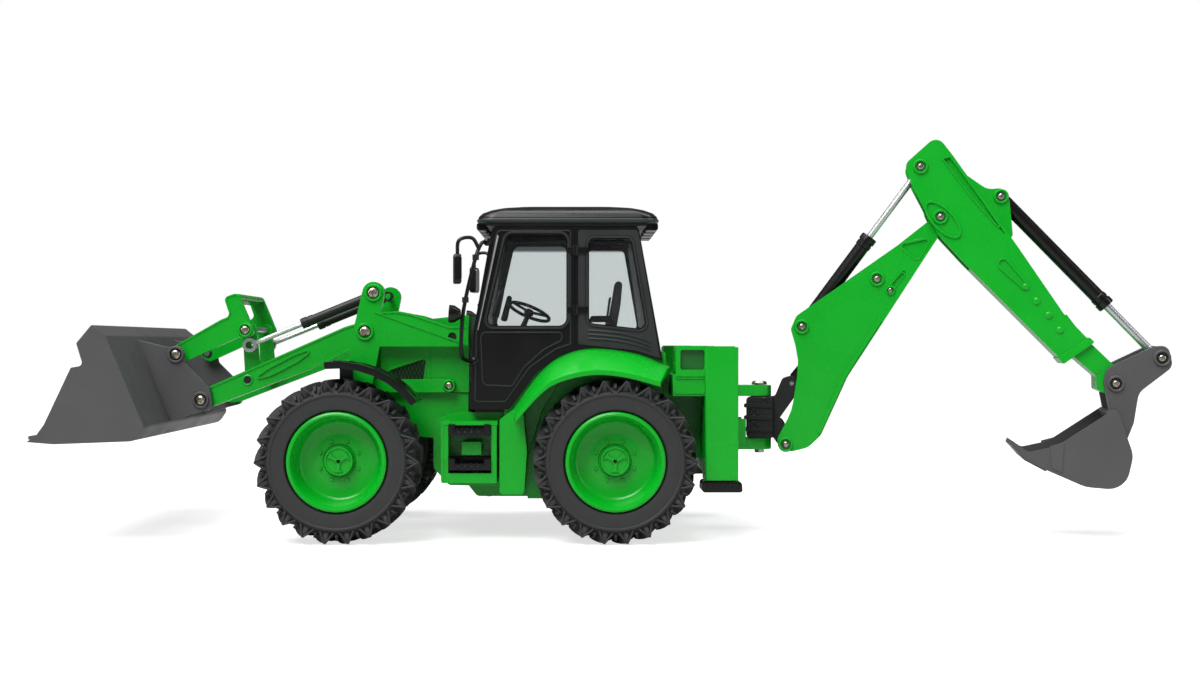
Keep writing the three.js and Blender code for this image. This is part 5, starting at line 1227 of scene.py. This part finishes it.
def swing_layers():
    """Casting that turns on the post and carries the boom."""
    bottom, top = 49.6, 71.9
    block = slab([(-6.4, bottom, 2), (8, bottom), (8, top), (-6.4, top, 2)], -9, 9)
    ribs = merge(*[slab([(-7.6, z, 0.8), (8, z, 0.8), (8, z + 2.2, 0.8), (-7.6, z + 2.2, 0.8)], -9.8, 9.8)
                   for z in (53, 59.5, 66)])
    trunnion = upright(0, 0, 2.6, 41.1, 78.5)
    cap = turned([(0, 78.4), (4.2, 78.4), (4.2, 79.4), (3.4, 80.3), (0, 80.3)], (0, 0, 0), (0, 0, 1), 32)
    half = BOOM_HALF - BOOM_PLATE - 0.5
    upper = [(6.8, 58), (11, 60, 3), (18, 70, 4), (BOOM_CYL[0] + 4.4, BOOM_CYL[1] - 2, 4),
             (BOOM_CYL[0] + 1, BOOM_CYL[1] + 4.6, 4), (BOOM_CYL[0] - 5, BOOM_CYL[1] + 3, 3), (9, 72.6, 3),
             (6.8, 71.8)]
    fork = slab([(8, 78), (30, 66), (30, 90), (8, 90)], -BARREL - 0.3, BARREL + 0.3)
    upper_lug = cut(slab(upper, -half, half), fork)
    lower_lug = prism(bar((9, 56), 4.6, BOOM_PIVOT, 3.7), -half, half)
    pins = merge(pin(BOOM_PIVOT, 1.7, -8.6, 8.6), pin(BOOM_CYL, 1.5, -half, half))
    bolts = merge(*[boss((x, z), side * 9, 1.9, 0.8) for side in (-1, 1) for x,
                    z in ((-2, 56.6), (-2, 63.4), (3.6, 69.6))])
    return [(block, SATIN, 0.6), (ribs, SATIN, 0.3), (trunnion, STEEL, 0.2), (cap, SCREW, 0),
            (upper_lug, SATIN, 0.5), (lower_lug, SATIN, 0.5), (pins, STEEL, 0.2), (bolts, SATIN, 0.2)]


piece("swing_casting_ribbed", "swing", ["swing_casting"], swing_layers(), swung=True)

BOOM = [(10.6, 43.2, 4), (18.5, 42.4, 4), (26.8, 44.6, 8), (33.4, 50.9, 6), (47.6, 82.7, 30),
        (65.2, 110.3, 20),
        (95.2, 157.6, 8), (101.6, 166.4, 5), (94.6, 172.6, 5),
        (STICK_PIVOT[0] - 6, STICK_PIVOT[1] - 1.7, 4),
        (74, 153.2, 10), (20.6, 115.8, 4), (17.6, 108.6, 3), (22.4, 92, 40), (18.2, 64.5, 30),
        (10.6, 49.6, 4)]


def boom_layers():
    """Boom plates with ties, edges and pivots."""
    inner = BOOM_HALF - BOOM_PLATE
    outer = slab(BOOM, -BOOM_HALF, BOOM_HALF)
    room = slab(inset([(x, z) for x, z, _ in BOOM], BOOM_PLATE), -inner, inner)
    openings = [slab(corners, -inner, inner) for corners in (
        [(0, 36), (20, 36), (29, 56), (29, 104), (0, 106)],
        [(19, 108), (34, 104), (62, 138), (50, 148), (17, 124)],
        [(86, 158), (91, 150), (110, 160), (104, 180), (84, 172)])]
    openings.append(pin(STICK_CYL, BARREL + 2, -inner, inner))
    triangle = [(75.4, 153.2, 1), (84.4, 145.8, 1), (90.6, 156.4, 1)]
    recess = [slab(triangle, side * (BOOM_HALF - 0.7), side * 12) for side in (-1, 1)]
    slot_shape = bar((71.6, 131.2), 1.5, (77.2, 138.5), 1.1)
    recess += [prism(slot_shape, side * (BOOM_HALF - 0.6), side * 12) for side in (-1, 1)]
    holes = [pin(BOOM_PIVOT, 2, -20, 20), pin(STICK_PIVOT, 2, -20, 20)]
    shell = cut(outer, room, *openings, *recess, *holes)
    edge_strip = [(33.4, 51.9, 2), (47.2, 83.2, 30), (66, 113.1, 0.4), (64.4, 114.1, 0.4), (45.4, 84.1, 30),
                  (31.7, 52.8, 2)]
    strips = both(merge(slab(edge_strip, BOOM_HALF - 0.3, BOOM_HALF + 0.9),
                        band(triangle, -1.3, -0.1, BOOM_HALF - 0.3, BOOM_HALF + 0.3)))
    # The darker green discs on the ring floors are painted shade.
    rings, heads, shade_discs = bosses_with_screws([BOOM_PIVOT, STICK_CYL, BOOM_EYE], BOOM_HALF, 3.9, 1.7)
    small_rings, small_heads, small_shade_discs = bosses_with_screws([(70.4, 129.2)], BOOM_HALF, 2.4, 1.4)
    slot_rim = both(band([(70.2, 132.4), (72.8, 130.2), (78.4, 137.6), (76.2, 139.6)], -0.1, 0.6,
                         BOOM_HALF - 0.2,
                         BOOM_HALF + 0.35))
    pins = pin(STICK_CYL, 1.5, -BOOM_HALF, BOOM_HALF)
    return [(shell, GREEN, 0.45), (strips, GREEN, 0.3), (rings, GREEN, 0), (small_rings, GREEN, 0),
            (slot_rim, GREEN, 0.1), (heads, SCREW, 0), (small_heads, SCREW, 0), (pins, STEEL, 0.2),
            (merge(shade_discs, small_shade_discs), SHADE_GREEN, 0)]


piece("boom_shell", "boom", ["boom"], boom_layers(), swung=True)

STICK = [(77.6, 196, 5), (81.5, 185, 6), (95, 158.4, 16), (107.7, 144.1, 10), (156, 93.6),
         (158.6, 91.2, 1), (172, 101.4, 1),
         (158.6, 116.1, 16), (135.5, 151.5, 20), (102, 201, 10), (94.5, 211, 5)]


def stick_layers():
    """Stick with its tongue, rails and pivots."""
    slot = BOOM_HALF + 0.4
    outer = slab(STICK, -STICK_HALF, STICK_HALF)
    head_room = slab([(60, 150), (110, 120), (113, 160), (100, 192), (92, 230), (60, 230)], -slot, slot)
    body_room = slab([(112, 152), (110, 147), (150, 104), (154, 108), (131, 144)], -7, 7)
    groove = [(97.8, 198.4, 0.4), (112.4, 177.8), (132.4, 153.6, 0.3), (118.2, 174.6), (101, 199.2, 0.4)]
    wedge = [slab(groove, side * (STICK_HALF - 1.1), side * 14) for side in (-1, 1)]
    shell = cut(outer, head_room, body_room, *wedge)
    tongue = slab([(150, 108), (158, 99), (174.6, 84, 2), (174.8, 77, 1),
                   (DIG_PIVOT[0] - 2, DIG_PIVOT[1] - 6, 4),
                   (DIG_PIVOT[0] + 6.4, DIG_PIVOT[1] - 1, 5), (DIG_PIVOT[0] + 3, DIG_PIVOT[1] + 6, 4),
                   (168, 105),
                   (160, 116)], -TONGUE_HALF, TONGUE_HALF)
    tongue = cut(tongue, pin(DIG_PIVOT, 2, -20, 20))
    lug = slab([(100, 196), (112, 170), (128, 156), (133.6, 156, 3), (DIG_CYL[0] + 4.4, DIG_CYL[1] - 2, 4),
                (DIG_CYL[0] + 1, DIG_CYL[1] + 4.6, 4), (DIG_CYL[0] - 7, DIG_CYL[1] + 4, 8), (106, 193)],
               -6.4, 6.4)
    lug = cut(lug, head_room, pin(DIG_CYL, 15, -BARREL - 0.6, BARREL + 0.6))
    flange = slab([(155.4, 93.4), (158.2, 90, 1), (173.8, 101.6, 1), (171, 104)], -12, 12)
    face = STICK_HALF
    # The darker green discs on the ring floors are painted shade.
    rings, heads, shade_discs = bosses_with_screws([STICK_PIVOT, STICK_EYE], face, 3.9, 1.7)
    lug_rings, lug_heads, lug_shade_discs = bosses_with_screws([DIG_CYL], 6.4, 3.8, 1.7)
    turn = math.radians(-48)
    oval = [(STICK_PIVOT[0] + 1.2 + 12.6 * math.cos(a) * math.cos(turn) - 5.8 * math.sin(a) * math.sin(turn),
             STICK_PIVOT[1] - 1.4 + 12.6 * math.cos(a) * math.sin(turn) + 5.8 * math.sin(a) * math.cos(turn))
            for a in [2 * math.pi * k / 40 for k in range(40)]]
    oval_ring = both(band(oval, 0, 1.2, face - 0.3, face + 0.9))
    tear = bar((128.2, 142.6), 3.2, (139, 131), 2.0)
    tear_ring = both(band(tear, 0, 1.0, face - 0.3, face + 0.8))
    studs = both(merge(*[turned([(0, -0.4), (1.9, -0.4), (1.8, 0.5), (1.3, 0.8), (0, 0.9)], (x, face, z),
                                (0, 1, 0), 24)
                         for x, z in ((139.5, 130.5), (145, 123), (151, 115.6), (156.5, 107.8))]))
    tongue_stud = both(turned([(0, -0.4), (1.8, -0.4), (1.7, 0.2), (0, 0.3)], (175.1, TONGUE_HALF, 87.1),
                              (0, 1, 0), 24))
    rim = both(band(groove, -0.8, 0.0, face - 0.3, face + 0.5))
    pins = merge(pin(STICK_PIVOT, 1.6, -face, face), pin(DIG_CYL, 1.5, -6.4, 6.4))
    return [(shell, GREEN, 0.45), (tongue, GREEN, 0.5), (lug, GREEN, 0.45), (flange, GREEN, 0.4),
            (rings, GREEN, 0),
            (lug_rings, GREEN, 0), (oval_ring, GREEN, 0.3), (tear_ring, GREEN, 0.25), (studs, GREEN, 0),
            (tongue_stud, GREEN, 0), (rim, GREEN, 0.2), (heads, SCREW, 0), (lug_heads, SCREW, 0),
            (pins, STEEL, 0.2),
            (merge(shade_discs, lug_shade_discs), SHADE_GREEN, 0)]


piece("stick_shell", "stick", ["stick"], stick_layers(), swung=True)


def digging_bucket_layers():
    """Toothed bucket between two ears."""
    half = DIG_BUCKET_HALF
    outline = [(181.2, 66.8), (157, 50.2, 3), (151, 47.4, 3), (140, 44.8, 3), (132.6, 49.8), (132, 48),
               (138.4, 41.2, 2),
               (149.6, 35.3, 6), (167.8, 27.4, 14), (187, 26, 14), (191, 44, 12), (183.4, 66.6)]
    room = [(178.6, 68), (180.6, 62), (187.4, 43, 10), (184.4, 30, 10), (168.6, 30, 12), (150.6, 37.8, 6),
            (140, 42.4, 3),
            (128, 54), (128, 75), (170, 75)]
    shell = cut(slab(outline, -half, half), slab(room, -half + WALL, half - WALL))
    step_line = both(slab([(150.4, 48.2, 0.4), (151.4, 36.6, 0.4), (156.2, 34.6, 0.4), (157.4, 50.2, 0.4)],
                          half - 0.3, half + 0.5))
    ribs = merge(*[slab([(170, 28.2), (187, 26.6, 14), (190.8, 44, 10), (187.4, 55), (185, 54), (186, 44),
                         (183, 31)],
                        y - 1, y + 1)
                   for y in (-12, 0, 12)])
    lip = slab([(132.4, 48.2, 0.3), (138.6, 41.6, 1), (149, 36.2, 3), (148.4, 34.9, 3), (137.8, 40.6, 1),
                (131.6, 47.8, 0.2)],
               -half + 0.3, half - 0.3)
    ear = slab([(DIG_PIVOT[0] - 6, DIG_PIVOT[1] + 1, 5), (180.6, 66, 3), (184.8, 60), (189.6, 52),
                (192.6, 60, 6),
                (195, 75.6, 8), (DIG_EYE[0] + 5.4, DIG_EYE[1] - 4.4, 5),
                (DIG_EYE[0] + 3, DIG_EYE[1] + 6.4, 5),
                (DIG_EYE[0] - 4, DIG_EYE[1] + 6, 4), (DIG_PIVOT[0] - 4.4, DIG_PIVOT[1] + 8, 5)], 10, 13)
    # The black satin discs on the ring floors are painted shade inside the grey boss rings.
    rings, heads, shade_discs = bosses_with_screws([DIG_PIVOT, DIG_EYE], 13, 4.2, 1.8)
    return [(shell, GREY, 0.4), (step_line, GREY, 0.15), (ribs, GREY, 0.3), (lip, GREY, 0.15),
            (both(ear), GREY, 0.5),
            (rings, GREY, 0), (heads, SCREW, 0), (shade_discs, SATIN, 0),
            (pin(DIG_PIVOT, 1.6, -13, 13), STEEL, 0.2)]


piece("digging_bucket_shell", "rear_bucket", ["digging_bucket"], digging_bucket_layers(),
      swung=True)

RAMS = (
    ("boom", BOOM_CYL, BOOM_EYE, 50, 26, 1.8), ("stick", STICK_CYL, STICK_EYE, 60.5, 30, 1.8),
    ("bucket", DIG_CYL, DIG_EYE, 79, 40, 2.1),
)
for name, start, end, length, first, radius in RAMS:
    shell, eye = barrel_solids(start, end, length, BARREL, 0)
    piece(f"{name}_cylinder_tube", f"{name}_barrel", [f"{name}_cylinder_barrel"], [
        (shell, BLACK, 0), (eye, SATIN, 0.3)], swung=True)
    shaft, eye = rod_solids(start, end, first, radius, 3.8, 3, 0)
    piece(f"{name}_cylinder_plated_rod", f"{name}_rod", [f"{name}_cylinder_rod"], [
        (shaft, CHROME, 0), (eye, STEEL, 0.3)], swung=True)

# ---------------------------------------------------------------- floor, light and camera
FLOOR = bpy.data.materials.new("floor_white")
FLOOR.use_nodes = True
floor_shader = FLOOR.node_tree.nodes["Principled BSDF"]
floor_shader.inputs["Base Color"].default_value = (0.5, 0.5, 0.5, 1)
floor_shader.inputs["Roughness"].default_value = 0.7
floor_shader.inputs["Specular IOR Level"].default_value = 0.1
floor_shader.inputs["Emission Color"].default_value = (1, 1, 1, 1)
floor_path = FLOOR.node_tree.nodes.new("ShaderNodeLightPath")
floor_glow = FLOOR.node_tree.nodes.new("ShaderNodeMath")
floor_glow.operation = "MULTIPLY"
floor_glow.inputs[1].default_value = 0.68
FLOOR.node_tree.links.new(floor_path.outputs["Is Camera Ray"], floor_glow.inputs[0])
FLOOR.node_tree.links.new(floor_glow.outputs["Value"], floor_shader.inputs["Emission Strength"])
floor_mesh = bpy.data.meshes.new("floor")
floor_mesh.from_pydata([(-8, -8, 0), (8, -8, 0), (8, 8, 0), (-8, 8, 0)], [], [(0, 1, 2, 3)])
floor_mesh.materials.append(FLOOR)
floor = bpy.data.objects.new("floor", floor_mesh)
bpy.context.scene.collection.objects.link(floor)

world = bpy.data.worlds.new("studio")
bpy.context.scene.world = world
world.use_nodes = True
nodes, links = world.node_tree.nodes, world.node_tree.links
seen = nodes.new("ShaderNodeBackground")
seen.inputs["Color"].default_value = (1, 1, 1, 1)
seen.inputs["Strength"].default_value = 1.0
around = nodes.new("ShaderNodeBackground")
around.inputs["Color"].default_value = (0.96, 0.98, 1, 1)
around.inputs["Strength"].default_value = 0.14
path = nodes.new("ShaderNodeLightPath")
choice = nodes.new("ShaderNodeMixShader")
links.new(path.outputs["Is Camera Ray"], choice.inputs["Fac"])
links.new(around.outputs["Background"], choice.inputs[1])
links.new(seen.outputs["Background"], choice.inputs[2])
links.new(choice.outputs["Shader"], nodes["World Output"].inputs["Surface"])


def aimed(name, light, at, target):
    """An object holding the light, placed and turned toward a point."""
    obj = bpy.data.objects.new(name, light)
    obj.location = at
    obj.rotation_mode = "QUATERNION"
    obj.rotation_quaternion = (Vector(target) - Vector(at)).to_track_quat("-Z", "Y")
    bpy.context.scene.collection.objects.link(obj)


def softbox(name, at, target, width, height, power):
    """A rectangular light aimed at a point."""
    light = bpy.data.lights.new(name, "AREA")
    light.shape = "RECTANGLE"
    light.size = width
    light.size_y = height
    light.energy = power
    aimed(name, light, at, target)


sky = bpy.data.lights.new("ceiling_bounce", "SUN")
sky.energy = 2.6
sky.angle = math.radians(35)
aimed("ceiling_bounce", sky, (-0.45, -0.6, 1.3), (0, 0, 0))
softbox("top_box", (0, 0.05, 0.95), (0, 0, 0.1), 1.3, 0.35, 7)
softbox("front_box", (-0.45, -1.15, 1.15), (0, 0, 0.08), 1.0, 0.5, 12)
softbox("right_box", (1.25, -0.5, 0.45), (0.15, 0, 0.1), 0.3, 0.8, 4)
softbox("left_box", (-1.3, -0.25, 0.55), (-0.15, 0, 0.1), 0.3, 0.8, 4)
bpy.context.scene.view_settings.view_transform = "Standard"

camera_data = bpy.data.cameras.new("camera")
camera_data.lens = 43.65
camera_data.sensor_width = 36
camera_data.shift_x = 0.0233
camera_data.clip_start = 0.01
camera_data.dof.use_dof = False
camera = bpy.data.objects.new("camera", camera_data)
camera.location = (-0.022, -0.8, 0.1006)
camera.rotation_euler = (math.pi / 2, 0, 0)
bpy.context.scene.collection.objects.link(camera)
bpy.context.scene.camera = camera
